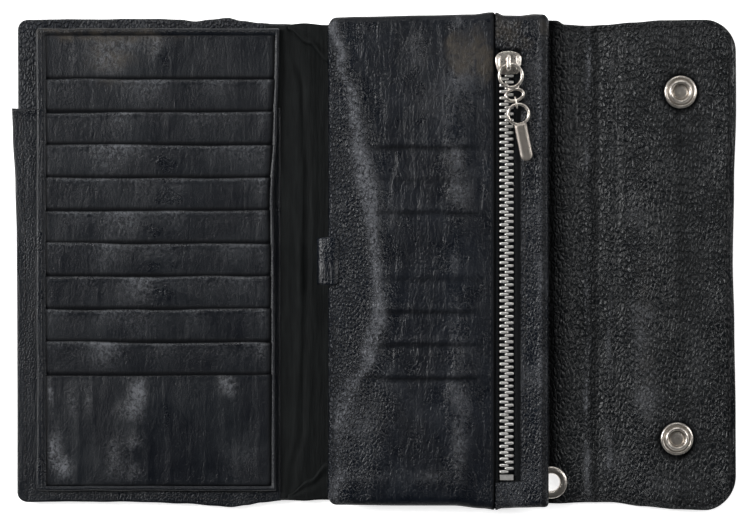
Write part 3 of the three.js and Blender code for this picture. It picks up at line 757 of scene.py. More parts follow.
def facing_paint():
    def grain(x, y):
        g = 0.8 + 0.35 * noise(x / 14, y / 26, 61)
        smooth = 0.75 * bell(x, 76.5, 4) + 0.6 * bell(x, 94.5, 2.6) + 0.5 * bell(x, 87.5, 1.8)
        return g * (1 - np.clip(smooth, 0, 0.85)) * step(141 - x, 2.0, 3.4)

    def gloss(x, y):
        v = 0.25 + 0.6 * bell(x, 103, 6.5) * (0.75 + 0.45 * noise(x / 9, y / 24, 62))
        return v + 0.5 * bell(x, 83.5, 1.6) + 0.4 * bell(x, 91, 1.6) + 0.4 * step(x, 124, 136)

    # Painted sheen: highlights along the crests of the two rolls and in scattered patches.
    def scuff_and_painted_sheen(x, y):
        line = bell(x, 83.2 + 1.0 * noise(3, y / 16, 65), 1.3) * (0.45 + 0.45 * noise(4, y / 13, 66))
        line = line + bell(x, 91.0 + 1.3 * noise(6, y / 15, 67), 1.1) * (0.25 + 0.4 * noise(7, y / 11, 68))
        return line + spots(x, y, [
            (102, 18, 4, 22, 0.30), (104, -22, 4.5, 16, 0.55), (105, -52, 5, 13, 0.65),
            (118, 50, 8, 18, 0.10),
            (112, 88, 14, 4, 0.22), (131, 20, 3, 50, 0.14), (126, -40, 4, 30, 0.12), (97, -80, 7, 6, 0.25),
            (112, -86, 12, 4, 0.30), (129, 84, 5, 5, 0.2)])

    def wear(x, y):
        v = spots(x, y, [(104, 30, 4, 22, 0.4), (105, -10, 4, 16, 0.55), (106, -45, 4.5, 20, 0.6)])
        return v + 0.5 * step(np.abs(y), HALF_H - 1.2, HALF_H) + 0.3 * step(x, 138.6, 140.2)

    # Painted shade: a dark line at x 69, in the groove between the two rolls, along a fold near x 120, along
    # the stitch line and in a ring round each socket.
    def painted_shade_and_edge_ink(x, y):
        v = 0.9 * bell(x, 69.0, 1.6) + 0.3 * bell(x, 86.4 + noise(3, y / 16, 65), 0.9)
        v = v + 0.25 * bell(x, 120 + 2 * noise(9, y / 30, 69), 1.5)
        v = v + 0.55 * bell(np.minimum(141 - x, HALF_H - np.abs(y)), 2.3, 0.45)
        for sx, sy in SOCKETS:
            v = v + 0.9 * bell(np.hypot(x - sx, y - sy), 6.6, 1.2)
        return v

    return {"grain": grain, "gloss": gloss, "wear": wear, "scuff_and_painted_sheen": scuff_and_painted_sheen, "painted_shade_and_edge_ink": painted_shade_and_edge_ink}


def facing():
    right = box("flap_facing")[1][0]
    h, e = HALF_H, 2.3
    m = SEAMS[2]
    under = lambda x, y: cover_z(x, y) + FACING_Z
    s = shell(FACING_LEFT, m, -h, h, under, 0.9, pitch=0.85, seams="R", top=facing_top, warp=cover_warp,
              lip=0.7, hole=through_grommet)
    sewn = [stitches(s, p) for p in ([(FACING_LEFT + 8, h - e), (m - 0.8, h - e)],
                                     [(FACING_LEFT + 16, -h + e), (m - 0.8, -h + e)])]
    build("facing_back", s, [M_FACING, M_THREAD], sewn, facing_paint(), blend=("back", "wrap", WRAP_C, 2.6),
          replaces=["back_facing", "wrap_facing"])
    s = shell(m, right, -h, h, under, 0.9, pitch=0.85, corners=(0, 12, 12, 0), seams="L", top=facing_top,
              warp=cover_warp, lip=0.7)
    a = [(right - 12 + (12 - e) * math.sin(t), h - 12 + (12 - e) * math.cos(t))
         for t in np.linspace(0, math.pi / 2, 9)]
    path = [(m + 0.8, h - e)] + a + [(x, -y) for x, y in a[::-1]] + [(m + 0.8, -h + e)]
    build("facing_flap", s, [M_FACING, M_THREAD], [stitches(s, path)], facing_paint(),
          blend=("wrap", "flap", WRAP_D, 2.6), replaces=["flap_facing"])


facing()

# ------------------------------------------------------------------ spine lining, gussets


crease = curve([(-95, -35.2), (-85, -34.4), (-65, -30.6), (-15, -29), (32, -28.6), (67, -30.2), (86, -34.4),
                (95, -35.2)])


def lining_part(name, x0, x1, seams, blend, replaces):
    base = box("back_lining")[0][2]

    def top(x, y, d):
        z = 0.34 * bell(x, crease(y), 0.9) - 0.45 * bell(x, crease(y) + 2.2, 1.2)
        z = z - 0.16 * creases(x / 4, y / 50, 72) * step(SPINE_A - x, 0.5, 3)
        return z * step(d, 0, 1.5)

    s = shell(x0, x1, -HALF_H + 0.8, HALF_H - 0.8, lambda x, y: cover_z(x, y) + base, 0.6, pitch=1.0,
              seams=seams,
              top=top, warp=cover_warp, lip=0.4)
    build(name, s, [M_LINING], blend=blend, replaces=replaces)


lining_part("lining_front", SPINE_B - 6, SEAMS[0], "R", ("front", "spine", SPINE_B, 2.6), ["spine_lining"])
lining_part("lining_back", SEAMS[0], box("back_lining")[1][0], "L", ("spine", "back", SPINE_A, 2.6),
            ["back_lining"])


WEB_END = SPINE_A + 2.2     # where the part of a gusset that folds away meets the part under the leaf


def gusset(name, side, x0, x1, squash=None):
    """Part of the folded web at one end of the bill compartment: it starts in a point over the spine."""
    node = "gusset_top" if side > 0 else "gusset_bottom"
    lo, hi = box(node)
    left, right = lo[0], hi[0]
    xs = np.linspace(x0, x1, 24)
    inner = curve([(left, 90.6), (SPINE_A - 6, 84.5), (SPINE_A + 1, 77.6), (SPINE_A + 14, 82), (right, 86)])
    outer = curve([(left, 92.4), (SPINE_A - 8, 93.0), (SPINE_A, 92.4), (right, 92.4)])
    rows = 11
    verts, faces = [], []
    base = box("back_lining")[1][2] + 0.25
    for x in xs:
        for j in range(rows):
            t = j / (rows - 1)
            y = inner(x) * (1 - t) + outer(x) * t
            pleat = 0.9 * math.exp(-(((t - 0.12) / 0.12) ** 2)) + 0.35 * math.exp(-(((t - 0.6) / 0.16) ** 2))
            lift = pleat * float(step(x, left, left + 6)) * (1 - 0.5 * float(step(x, SPINE_A, SPINE_A + 6)))
            verts.append([x, side * y, float(cover_z(x)) + base + 0.5 + lift])
    n = len(verts)
    verts += [[x, y, z - 0.5] for x, y, z in verts]
    quad = []
    for i in range(len(xs) - 1):
        for j in range(rows - 1):
            a = i * rows + j
            quad.append([a, a + rows, a + rows + 1, a + 1])
    faces += quad + [[v + n for v in q[::-1]] for q in quad]
    rim = [i * rows for i in range(len(xs))] + [(len(xs) - 1) * rows + j for j in range(1, rows)]
    rim += [i * rows + rows - 1 for i in range(len(xs) - 2, -1, -1)] + [j for j in range(rows - 2, 0, -1)]
    for a, b in zip(rim, rim[1:] + rim[:1]):
        faces.append([a, a + n, b + n, b])
    if side < 0:
        faces = [f[::-1] for f in faces]
    ob = make_mesh(name, verts, faces, mats=[M_LINING])
    finish_piece(ob, body="back", replaces=[node], squash=squash)


for end, side in (("top", 1), ("bottom", -1)):
    limits = box(f"gusset_{end}")
    gusset(f"end_gusset_{end}", side, WEB_END, limits[1][0])
    gusset(f"end_web_{end}", side, limits[0][0], WEB_END,
           {"joint": "spine_fold", "axis": (1, 0, 0), "anchor": (WEB_END * MM, 0, 0), "keep": 0.05})

# ------------------------------------------------------------------ the front panel


def front_body():
    lo, hi = box("slip_pocket")
    left, right = box("front_cover")[0][0], box("card_backing")[1][0]
    mouth = hi[1]
    bulge = curve([(-95, 0.2), (-60, 0.2), (-20, 0.1), (10, -0.1), (30, -0.6), (50, -1.6), (mouth, -1.9)])

    def warp(x, y):
        dy = cover_warp(x, y)[1]
        t = step(-x, 125, 139)
        return bulge(y) * t, dy * (y < 0) + 0.25 * noise(x / 9, 7, 81) * (y > mouth - 1)

    def top(x, y, d):
        z = 0.12 * fbm(x / 9, y / 20, 82) * step(d, 0, 2)
        z = z - 0.16 * bell(x, left + 3.2, 0.5) * step(-x, 130, 135)
        return z + 0.25 * bell(y, mouth - 1.0, 0.9)

    s = shell(left, right + 0.3, -HALF_H, mouth, lo[2], 0.9, pitch=1.3, corners=(0, 0, 0, 4), seams="",
              top=top,
              warp=warp, lip=0.7)
    e = 3.2
    path = [(left + e, mouth - 2), (left + e, -HALF_H + e), (right - 2, -HALF_H + 2.4)]
    paint = {"grain": flat(0.25), "gloss": lambda x, y: 0.5 + 0.4 * noise(x / 5, y / 16, 83),
             "wear": lambda x, y: 0.4 * step(noise(x / 6, y / 20, 84), 0.2, 0.9)}
    build("slip_pocket_leather", s, [M_CARD, M_THREAD], [stitches(s, path)], paint, body="front",
          replaces=["slip_pocket"])


front_body()

CARD_LO, CARD_HI = box("card_backing")
POCKET_PITCH = 12.76      # from one card pocket's mouth to the next
FACE_T = 0.5
card_right = curve([(-95, -1.2), (-60, -1.4), (0, -1.7), (25, -2.2), (50, -0.9), (80, -0.1), (95, 0.0)])


def card_base():
    z0 = CARD_LO[2]
    full = box("card_binding")[1][2] - z0
    inner_left, inner_right = CARD_LO[0] + 3.9, CARD_HI[0] - 2.1
    inner_bottom, inner_top = CARD_LO[1] + 1.7, CARD_HI[1] - 2.7

    def thick(x, y, d):
        inside = np.minimum.reduce([x - inner_left, inner_right - x, y - inner_bottom, inner_top - y])
        return full - (full - 0.7) * step(inside, -0.5, 0.35)

    def top(x, y, d):
        z = 0.08 * fbm(x / 5, y / 14, 91)
        line = bell(d, 1.9, 0.4) * step(-x, 125, 128)
        return (z - 0.18 * line) * step(d, 0, 1)

    def warp(x, y):
        t = step(x, -50, CARD_HI[0])
        wavy = 0.25 * noise(y / 14, 2, 92)
        return card_right(y) * t + wavy * step(-x, 120, 131), 0.2 * noise(x / 11, 5, 93)

    s = shell(CARD_LO[0], CARD_HI[0], CARD_LO[1], CARD_HI[1], z0, thick, pitch=1.1,
              corners=(1.5, 0.8, 0.8, 1.5),
              top=top, warp=warp, lip=0.8)
    e = 2.4
    path = [(CARD_LO[0] + e, CARD_LO[1] + 0.9), (CARD_LO[0] + e, CARD_HI[1] - 1.3),
            (CARD_HI[0] - 1.2, CARD_HI[1] - 1.3)]
    paint = {
        "grain": flat(0.2),
        "gloss": lambda x, y: 0.4 + 0.4 * noise(x / 5, y / 12, 94),
        "wear": lambda x, y: 0.6 * bell(y, 90, 4) * step(-x, 70, 90)
        + 0.25 * step(noise(x / 6, y / 10, 95), 0.2, 1),
    }
    build("card_panel_base", s, [M_CARD, M_THREAD], [stitches(s, path, pitch=2.8, length=2.0, r=0.2)], paint,
          body="front", replaces=["card_backing", "card_binding"])


card_base()


def card_face(name, node, index):
    """One pocket face, lying like a shingle on the one above it."""
    lo, hi = box(node)
    first = box("card_pocket_01")
    last = node == "card_pocket_10"
    head = node == "card_head"
    slope = (hi[2] - lo[2] - FACE_T) / (hi[1] - lo[1])
    seed = 100 + index * 7
    sag = 0.35 + 0.15 * math.sin(index * 1.7)

    def bottom(x, y):
        return hi[2] - FACE_T - slope * (hi[1] - y)

    def top(x, y, d):
        across = np.clip((x - lo[0]) / (hi[0] - lo[0]), 0, 1)
        z = 0.10 * fbm(x / 12, y / 9, seed) + 0.05 * noise(x / 2.4, y / 14, seed + 3)
        if last:
            z = z + 0.16 * creases(x / 7, y / 26, seed + 5) * step(hi[1] - y, 3, 9)
            z = z + 0.55 * np.sin(math.pi * across) * bell(y, (lo[1] + hi[1]) / 2, 16)
        elif not head:
            z = z + 0.18 * bell(y, hi[1] - 1.1, 1.0)
        z = z - 0.10 * bell(hi[1] - y, 1.8, 0.35) * (0 if head else 1)
        return z * step(d, 0, 1.2)

    def warp(x, y):
        t = (x - lo[0]) / (hi[0] - lo[0])
        mouth = 0.35 * noise(x / 16, index * 3.1, 120) - sag * np.sin(math.pi * np.clip(t, 0, 1)) * 0.6
        tilt = (0.5 - t) * 0.5 * math.sin(index * 2.3)
        near = step(y, hi[1] - 5, hi[1]) * (0 if head else 1)
        return card_right(y) * step(x, -52, hi[0]), (mouth + tilt) * near

    mouth_below = None if last else (first[1][1] if head else hi[1] - POCKET_PITCH)

    def gloss(x, y):
        v = 0.25 + 0.35 * noise(x / 10, y / 30, 121)
        v = v + 0.5 * bell(x, -86 + 5 * noise(index, 1, 122), 8) * step(hi[1] - y, 0, 7)
        return v + 0.45 * bell(hi[1] - y, 0.6, 0.7)

    # Painted highlights: a lighter band below each mouth that fades downwards, a brighter line right at the
    # mouth, streaks near the left and right ends and a patch near x -97; patches on the head and the last
    # face.
    def scuff_and_painted_sheen(x, y):
        if head:
            return spots(x, y, [(-104, 80, 7, 6, 0.75), (-97, 86, 12, 3, 0.4), (-84, 84, 2.6, 4, 0.9),
                                (-118, 79, 1.2, 5, 0.35), (-60, 80, 8, 8, 0.12)])
        if last:
            return spots(x, y, [
                (-126.0, -50, 1.0, 7, 1.0), (-117, -53, 2.2, 7, 0.35), (-111, -53, 1.6, 6, 0.55),
                (-92, -50, 3.2, 5, 0.9),
                (-95, -58, 5, 4, 0.6), (-57, -47, 3, 4, 0.8), (-124.5, -73, 2.4, 6, 0.9),
                (-121, -80, 3, 4, 0.9),
                (-101, -76, 4, 8, 0.55), (-93, -70, 3, 3, 0.5), (-93, -82, 4, 4, 0.45),
                (-50, -78, 9, 8, 0.18)], 1.2)
        fade = np.clip((y - mouth_below) / POCKET_PITCH, 0, 1)
        v = (0.02 + 0.22 * fade * fade) * (1 + 0.9 * noise(x / 7, index * 2.7, 125))
        centre = -97 + 9 * math.sin(index * 1.9)
        v = v + (0.26 + 0.14 * math.sin(index * 2.9)) * bell(x, centre, 7) * (0.3 + fade)
        v = v + 0.35 * bell(x, -126.3, 0.8) * (0.5 + 0.6 * noise(1, y / 3.5, 126))
        v = v + 0.30 * bell(x, -42.5, 1.6) * fade
        return v + 0.25 * bell(hi[1] - y, 0.7, 0.5)

    def wear(x, y):
        if head:
            return spots(x, y, [(-103, 80, 12, 7, 0.85), (-96, 88, 26, 2.4, 0.9), (-122, 88, 5, 2, 0.7),
                                (-84, 85, 4, 5, 0.5)])
        v = 0.2 * step(noise(x / 12, y / 7, 123), 0.35, 0.9)
        return v + (spots(x, y, [(-100, 70, 10, 3, 0.6)]) if index == 1 else 0)

    # Painted shadow in the 2 mm just above the mouth of the pocket below; darker at both sides and along the
    # bottom of the last face; the dark rim at each mouth is edge ink.
    def painted_shade_and_edge_ink(x, y):
        v = 0.75 * step(0.35 - (hi[1] - y), 0, 0.3) * (0 if head else 1)
        v = v + 0.75 * bell(x, hi[0] - 0.2, 0.9) + 0.7 * bell(x, lo[0] + 0.1, 0.5)
        if mouth_below is not None:
            v = v + 0.95 * step(2.0 - (y - mouth_below), 0, 2.0)
        else:
            v = v + 0.8 * bell(y, lo[1], 1.0)
        return v

    s = shell(lo[0] - 0.4, hi[0] + 0.3, lo[1], hi[1], bottom, FACE_T, pitch=1.0 if last else 1.1, top=top,
              warp=warp, lip=0.55)
    paint = {"grain": flat(0.03), "gloss": gloss, "wear": wear,
             "scuff_and_painted_sheen": scuff_and_painted_sheen, "painted_shade_and_edge_ink": painted_shade_and_edge_ink}
    build(name, s, [M_CARD], paint=paint, body="front", replaces=[node])


card_face("card_head_leather", "card_head", 0)
for i in range(1, 11):
    card_face(f"card_face_{i:02d}", f"card_pocket_{i:02d}", i)

# ------------------------------------------------------------------ the middle leaf

LEAF_LO, LEAF_HI = box("leaf_front")
LEAF_H = LEAF_HI[1]
STRIP_LO, STRIP_HI = box("zip_strip")
LEAF_TOP = LEAF_HI[2]
LEAF_T = 1.4
LEAF_EDGE = LEAF_LO[0] + 0.8     # clear of the spine when it stands up in the closed wallet
LEAF_MID = box("leaf_welt")[0][2] + 0.9

leaf_top_stray = curve([(-20, -2.0), (-16, -0.5), (-5, -0.2), (20, 0.3), (38, 0.7), (45, 1.5), (47, 1.4),
                        (50, 0.3),
                        (56, 0.2), (62, 0.8), (65, 0.7), (68, -0.6)])
leaf_bottom_stray = curve([(-20, 2.2), (-16, 1.2), (10, 0.9), (30, 0.9), (42, -0.2), (47, -0.8), (49, -0.2),
                           (56, 0.1),
                           (68, 0.3)])


def leaf_warp(x, y):
    up, down = np.clip(y / LEAF_H, 0, 1) ** 5, np.clip(-y / LEAF_H, 0, 1) ** 5
    dy = leaf_top_stray(x) * up + leaf_bottom_stray(x) * down
    dx = (0.15 + 0.15 * noise(y / 22, 3, 131)) * step(-x, 12, 18)
    return dx, dy


streak = curve([(-96, -15), (-66, -14), (-50, -10), (-38, -3), (-20, 1), (1, 0), (11, -1.8), (24, -3.0),
                (34, -3.8),
                (50, -5.7), (64, -8.4), (77, -13.5), (92, -16.7)])

# How deeply each card pocket's mouth has pressed into the leaf.
PRESSED = (0.0, 0.0, 0.65, 0.25, 0.5, 0.0, 0.3, 0.6, 0.6, 0.7)


def leaf_front_top(x, y, d):
    z = 0.5 * bell(d, 16, 14) + 0.25 * fbm(x / 20, y / 32, 132)
    # the glossy ridge that wanders down the leaf, with small wrinkles on it
    s = streak(y) + 1.5 * noise(y / 12, 4, 133)
    z = z + 0.42 * bell(x, s, 4.5) * (0.7 + 0.4 * noise(y / 15, 8, 134))
    z = z - 0.30 * bell(x, s + 7.5, 3.0)
    z = z + 0.20 * creases(x / 3.4, y / 9, 135) * bell(x, s + 1, 9)
    # marks pressed in by the card pockets when the wallet is shut
    for i, deep in enumerate(PRESSED, 1):
        m = box(f"card_pocket_{i:02d}")[1][1]
        depth = 0.30 * deep
        z = z + depth * bell(y, m + 0.5 * noise(x / 12, i, 136), 1.3) * step(x, -10, 6) * step(44 - x, 0, 8)
        z = z - depth * bell(y, m - 2.2, 1.6) * step(x, -10, 6) * step(44 - x, 0, 8)
    z = z + 0.28 * bell(x, 31 + 1.4 * noise(y / 25, 2, 137), 4.0) * (0.6 + 0.5 * noise(y / 14, 5, 138))
    z = z - 0.25 * bell(x, 41.5, 1.2) * 0.6
    z = z + 0.06 * fbm(x / 2.6, y / 5, 139)
    return z * step(d, 0.2, 4)


def leaf_front():
    x0, x1 = LEAF_EDGE, LEAF_HI[0]
    deep = LEAF_TOP - LEAF_MID

    def roll(x, y, d):
        """The turned edge: it rolls down over the welt on three sides and stays thin along the zip."""
        e = np.minimum(np.minimum(x - x0, LEAF_H - y), y + LEAF_H)
        return -(deep - 0.9) * rolled(e, 3.2)

    s = shell(x0, x1, -LEAF_H, LEAF_H, LEAF_TOP - LEAF_T, 1.3, pitch=0.85, corners=(4, 0.6, 0.6, 4),
              top=lambda x, y, d: leaf_front_top(x, y, d) + roll(x, y, d), under=roll, warp=leaf_warp,
              lip=0.9)
    h = LEAF_H
    sewn = [stitches(s, [(x1 - 1.6, h - 6), (x1 - 1.6, -h + 6)], pitch=2.9, length=2.1, r=0.2)]

    # Painted sheen: highlights along the wandering ridge and the ridge near x 31, and in scattered patches.
    def scuff_and_painted_sheen(x, y):
        centre = streak(y) + 1.2 * noise(y / 9, 2, 145)
        wide = 1.8 + 2.0 * bell(y, 35, 22) + 1.2 * bell(y, -25, 14)
        strong = 1.25 + 0.3 * noise(3, y / 9, 146) - 0.5 * bell(y, -12, 6) - 0.8 * step(-y, 38, 60)
        v = bell(x, centre, wide) * strong
        v = v + 0.55 * bell(x, 31.5 + 1.5 * noise(y / 16, 6, 147),
                            2.2) * np.clip(0.25 + 0.9 * noise(2, y / 8.5, 148), 0, 1)
        return v + spots(x, y, [
            (16, 82, 3.5, 7, 0.5), (-12, -52, 5, 9, 0.75), (-6, -60, 6, 12, 0.40), (-13, -67, 3, 9, 0.45),
            (-13, -85, 4, 3.5, 0.65), (-3, -84, 8, 3, 0.4), (22, -84, 9, 4, 0.35), (24, 62, 12, 10, 0.22),
            (36, 76, 7, 10, 0.35),
            (33, 27, 4, 8, 0.5), (30, 42, 5, 5, 0.4), (5, 20, 5, 8, 0.2), (10, -60, 14, 14, 0.12),
            (33, -35, 4, 9, 0.3),
            (33, -58, 3.5, 12, 0.45), (-2, -32, 6, 8, 0.4)])

    def grain_map(x, y):
        left = np.clip(1.0 - (x - streak(y)) / 9.0, 0.1, 1)
        low = bell(y, -60, 26) * step(12 - x, 0, 14)
        return np.clip(0.75 * left * left + 0.5 * low, 0.04, 1)

    # Painted shade in the marks pressed in by the card pockets and along a crease near the left edge; darker
    # along the right edge and towards the top and bottom edges.
    def painted_shade_and_edge_ink(x, y):
        v = 0.8 * bell(x, x1 - 0.2, 0.7) + 0.5 * step(np.abs(y), h - 2.8, h - 0.5)
        v = v + 0.35 * bell(x, x0 + 2.2, 0.6)
        for i, deep in enumerate(PRESSED, 1):
            m = box(f"card_pocket_{i:02d}")[1][1] - 1.2 + 0.5 * noise(x / 12, i, 136)
            v = v + deep * bell(y, m, 0.9) * step(x, -12, 8) * step(46 - x, 0, 14)
        return v

    paint = {
        "grain": grain_map,
        "gloss": lambda x, y: 0.15 + 0.8 * bell(x, streak(y) + 1,
                                                6) * (0.75 + 0.35 * noise(x / 5, y / 10, 142))
        + 0.5 * bell(x, 31, 6) * (0.5 + 0.5 * noise(x / 8, y / 18, 143)),
        "wear": lambda x, y: spots(x, y, [(35, 80, 9, 9, 1.0), (42, 76, 3, 12, 0.8), (29, 82, 4, 8, 0.6)],
                                   3.0),
        "scuff_and_painted_sheen": scuff_and_painted_sheen, "painted_shade_and_edge_ink": painted_shade_and_edge_ink,
    }
    build("leaf_front_leather", s, [M_LEAF, M_THREAD], sewn, paint, body="leaf",
          replaces=["leaf_front", "leaf_welt"])


def leaf_back():
    lo, hi = box("leaf_back")
    deep = LEAF_MID - lo[2]

    def roll(x, y, d):
        return (deep - 0.9) * rolled(d, 2.2)

    s = shell(LEAF_EDGE, hi[0], lo[1], hi[1], lo[2], 0.8, pitch=1.6, corners=(3, 1, 1, 3), top=roll,
              under=roll,
              warp=leaf_warp, lip=0.6)
    paint = {"grain": flat(0.4), "gloss": flat(0.3)}
    build("leaf_back_leather", s, [M_LEAF], paint=paint, body="leaf", replaces=["leaf_back"])


ZIP_RIGHT = 56.4
ZIP_TOP, ZIP_BOTTOM = 82.0, -84.5


def zip_strip():
    """Bracket-shaped leather right of the zip, in three strips that run into each other."""
    x0, x1 = STRIP_LO[0], STRIP_HI[0]
    h = LEAF_H
    deep = LEAF_TOP - LEAF_MID

    def window(x, y):
        return (x < ZIP_RIGHT) & (y < ZIP_TOP) & (y > ZIP_BOTTOM)

    def gap(x, y):
        """Distance to the zip window's edge, outside it."""
        gx = x - ZIP_RIGHT
        gy = np.maximum(y - ZIP_TOP, ZIP_BOTTOM - y)
        return np.where(gy > 0, np.where(gx > 0, np.hypot(gx, gy), gy), gx)

    def roll(x, y, d):
        e = np.minimum(np.minimum(x1 - x, h - y), y + h)
        return -(deep - 0.9) * rolled(e, 2.8) - 0.55 * rolled(gap(x, y), 0.9)

    def top(x, y, d):
        z = 0.12 * fbm(x / 8, y / 20, 151) + 0.16 * creases(x / 4.5, y / 24, 152) * step(y, -60, 40)
        z = z + 0.22 * bell(x, x1 - 3.4, 1.0) - 0.18 * bell(x, x1 - 2.0, 0.45)
        z = z + 0.2 * creases(x / 4, y / 5, 153) * step(y, 78, 88)
        return z * step(d, 0.2, 2.5) * step(gap(x, y), 0.1, 1.2) + roll(x, y, d)

    s = shell(x0, x1, -h, h, LEAF_TOP - LEAF_T, 1.3, pitch=0.8, corners=(0.5, 2, 2, 0.5), top=top, under=roll,
              warp=leaf_warp, lip=0.8, hole=window)
    sewn = [
        stitches(s, [(ZIP_RIGHT + 1.7, ZIP_TOP - 4), (ZIP_RIGHT + 1.7, ZIP_BOTTOM + 2)], pitch=2.9,
                 length=2.1, r=0.2),
        stitches(s, [(x1 - 2.0, h - 5), (x1 - 2.0, -h + 5)], pitch=2.9, length=2.1, r=0.2),
    ]
    paint = {
        "grain": lambda x, y: 0.45 + 0.3 * noise(x / 8, y / 20, 154),
        "gloss": lambda x, y: 0.35 + 0.4 * noise(x / 6, y / 22, 155) + 0.4 * bell(x, x1 - 3.4, 1),
        "wear": lambda x, y: 0.75 * step(y, 66, 90) * step(noise(x / 5, y / 6, 156), -0.5, 0.5),
        # Painted sheen in patches and on the ridge by the right edge; painted shade along the stitch line,
        # round the zip window and towards the top and bottom edges.
        "scuff_and_painted_sheen": lambda x, y: 0.30 * step(noise(x / 6, y / 9, 157), -0.1, 0.8) + 0.3 * bell(x, x1 - 3.2, 0.8),
        "painted_shade_and_edge_ink": lambda x, y: 0.8 * bell(x, x1 - 2.0, 0.5) + 0.8 * step(0.9 - gap(x, y), 0, 0.9)
        + 0.4 * step(np.abs(y), h - 2.6, h - 0.6),
    }
    build("zip_strip_leather", s, [M_LEAF, M_THREAD], sewn, paint, body="leaf", replaces=["zip_strip"])


def seam_welt():
    lo, hi = box("seam_welt")
    s = shell(lo[0], hi[0], lo[1], hi[1], lo[2], hi[2] - lo[2], pitch=2.5, lip=1.6)
    build("seam_welt_leather", s, [M_COVER], paint={"grain": flat(0.4)}, body="back",
          replaces=["seam_welt"])


leaf_front()
leaf_back()
zip_strip()
seam_welt()

# ------------------------------------------------------------------ the leather loop on the leaf's edge


def edge_loop():
    """A strip folded over the leaf's edge and sewn down: a small keeper."""
    lo, hi = box("edge_loop")
    cx, y0, y1 = lo[0], lo[1], hi[1]
    section = [(hi[0], LEAF_TOP + 0.4), (hi[0] - 1.0, LEAF_TOP + 1.1), (hi[0] - 2.4, LEAF_TOP + 1.55),
               (cx + 4.2, LEAF_TOP + 1.35), (cx + 2.2, LEAF_TOP + 1.2), (cx + 0.9, LEAF_TOP + 0.6),
               (cx + 0.15, LEAF_TOP - 0.8), (cx + 0.3, LEAF_TOP - 2.4), (cx + 1.1, LEAF_TOP - 3.4)]
    section = np.array(section)
    dense = np.linspace(0, len(section) - 1, 33)
    px = np.interp(dense, range(len(section)), section[:, 0])
    pz = np.interp(dense, range(len(section)), section[:, 1])
    for _ in range(3):
        px[1:-1] = (px[:-2] + 2 * px[1:-1] + px[2:]) / 4
        pz[1:-1] = (pz[:-2] + 2 * pz[1:-1] + pz[2:]) / 4
    rows = 30
    verts, faces, uv = [], [], []
    for layer_side in (0, 1):
        for j in range(rows):
            t = j / (rows - 1)
            for i in range(len(px)):
                s = i / (len(px) - 1)
                corner = 1.6 * max(0, 1 - s * 3) ** 2
                y = (y0 + corner) * (1 - t) + (y1 - corner) * t
                y += 0.3 * math.sin(5 * s + 1) * (1 if t > 0.5 else -1)
                tx = px[min(i + 1, len(px) - 1)] - px[max(i - 1, 0)]
                tz = pz[min(i + 1, len(px) - 1)] - pz[max(i - 1, 0)]
                ln = math.hypot(tx, tz) + 1e-9
                nx, nz = tz / ln, -tx / ln
                round_ = 1 - 0.75 * max(0, 1 - min(t, 1 - t) * 22) ** 2
                thick = -1.0 * round_ if layer_side else 0
                dent = 0.25 * math.exp(-(((t - 0.5) / 0.2) ** 2)) * (1 - s)
                verts.append([px[i] - nx * thick * -1, y, pz[i] - nz * thick * -1 - dent])
                uv.append([px[i] + pz[i] * 0.4, y])
    n, w = rows * len(px), len(px)
    for j in range(rows - 1):
        for i in range(w - 1):
            a = j * w + i
            faces.append([a, a + 1, a + w + 1, a + w])
            faces.append([v + n for v in (a + w, a + w + 1, a + 1, a)])
    rim = [j * w for j in range(rows)] + [(rows - 1) * w + i for i in range(1, w)]
    rim += [j * w + w - 1 for j in range(rows - 2, -1, -1)] + [i for i in range(w - 2, 0, -1)]
    for a, b in zip(rim, rim[1:] + rim[:1]):
        faces.append([a, b, b + n, a + n])
    attributes = {"grain": np.full(len(verts), 0.03), "gloss": np.full(len(verts), 0.6),
                  "wear": np.full(len(verts), 0.15), "edge": np.full(len(verts), 0.5)}
    ob = make_mesh("edge_loop_leather", verts, faces, uv, attributes, [M_LEAF])
    finish_piece(ob, body="leaf", replaces=["edge_loop"],
                 squash={"joint": "spine_fold", "axis": (1, 0, 0), "anchor": ((LEAF_EDGE - 0.15) * MM, 0, 0),
                         "keep": 0.03})


edge_loop()

# ------------------------------------------------------------------ the zip


def tape(name, node, inner):
    lo, hi = box(node)
    x0, x1 = lo[0], hi[0]
    edge = x1 if inner > 0 else x0

    def top(x, y, d):
        return 0.22 * bell(x, edge - inner * 0.8, 0.5)

    s = shell(x0, x1, lo[1], hi[1], lo[2], 0.5, pitch=1.0, top=top, lip=0.3)
    build(name, s, [M_TAPE], body="leaf", replaces=[node])


tape("tape_left", "zip_tape_left", 1)
tape("tape_right", "zip_tape_right", -1)


TOOTH_PITCH = 2.45


def ring_quads(rings, n):
    """Quads between each ring of n points and the next."""
    starts = [(i * n + k, i * n + (k + 1) % n) for i in range(rings - 1) for k in range(n)]
    return [[a, b, b + n, a + n] for a, b in starts]


def tooth(cx, cy, cz, side):
    """One clamped metal tooth: a waisted bar with a rounded nose that reaches past the centre line."""
    nose = -side
    outline = [(side * 2.75, 0.48), (side * 1.9, 0.60), (side * 0.9, 0.56), (nose * 0.2, 0.50),
               (nose * 0.75, 0.34)]
    levels = [(-1.1, 0.72), (-0.75, 1.0), (0.75, 1.0), (1.12, 0.7)]
    ring = [(x, -w) for x, w in outline] + [(x, w) for x, w in outline[::-1]]
    verts = []
    mx = sum(p[0] for p in ring) / len(ring)
    for z, k in levels:
        for x, y in ring:
            verts.append([cx + mx + (x - mx) * (0.5 + 0.5 * k), cy + y * k, cz + z])
    n = len(ring)
    top = [(len(levels) - 1) * n + k for k in range(n)]
    faces = ring_quads(len(levels), n) + [top, list(range(n))[::-1]]
    if side > 0:
        faces = [f[::-1] for f in faces]
    return verts, faces


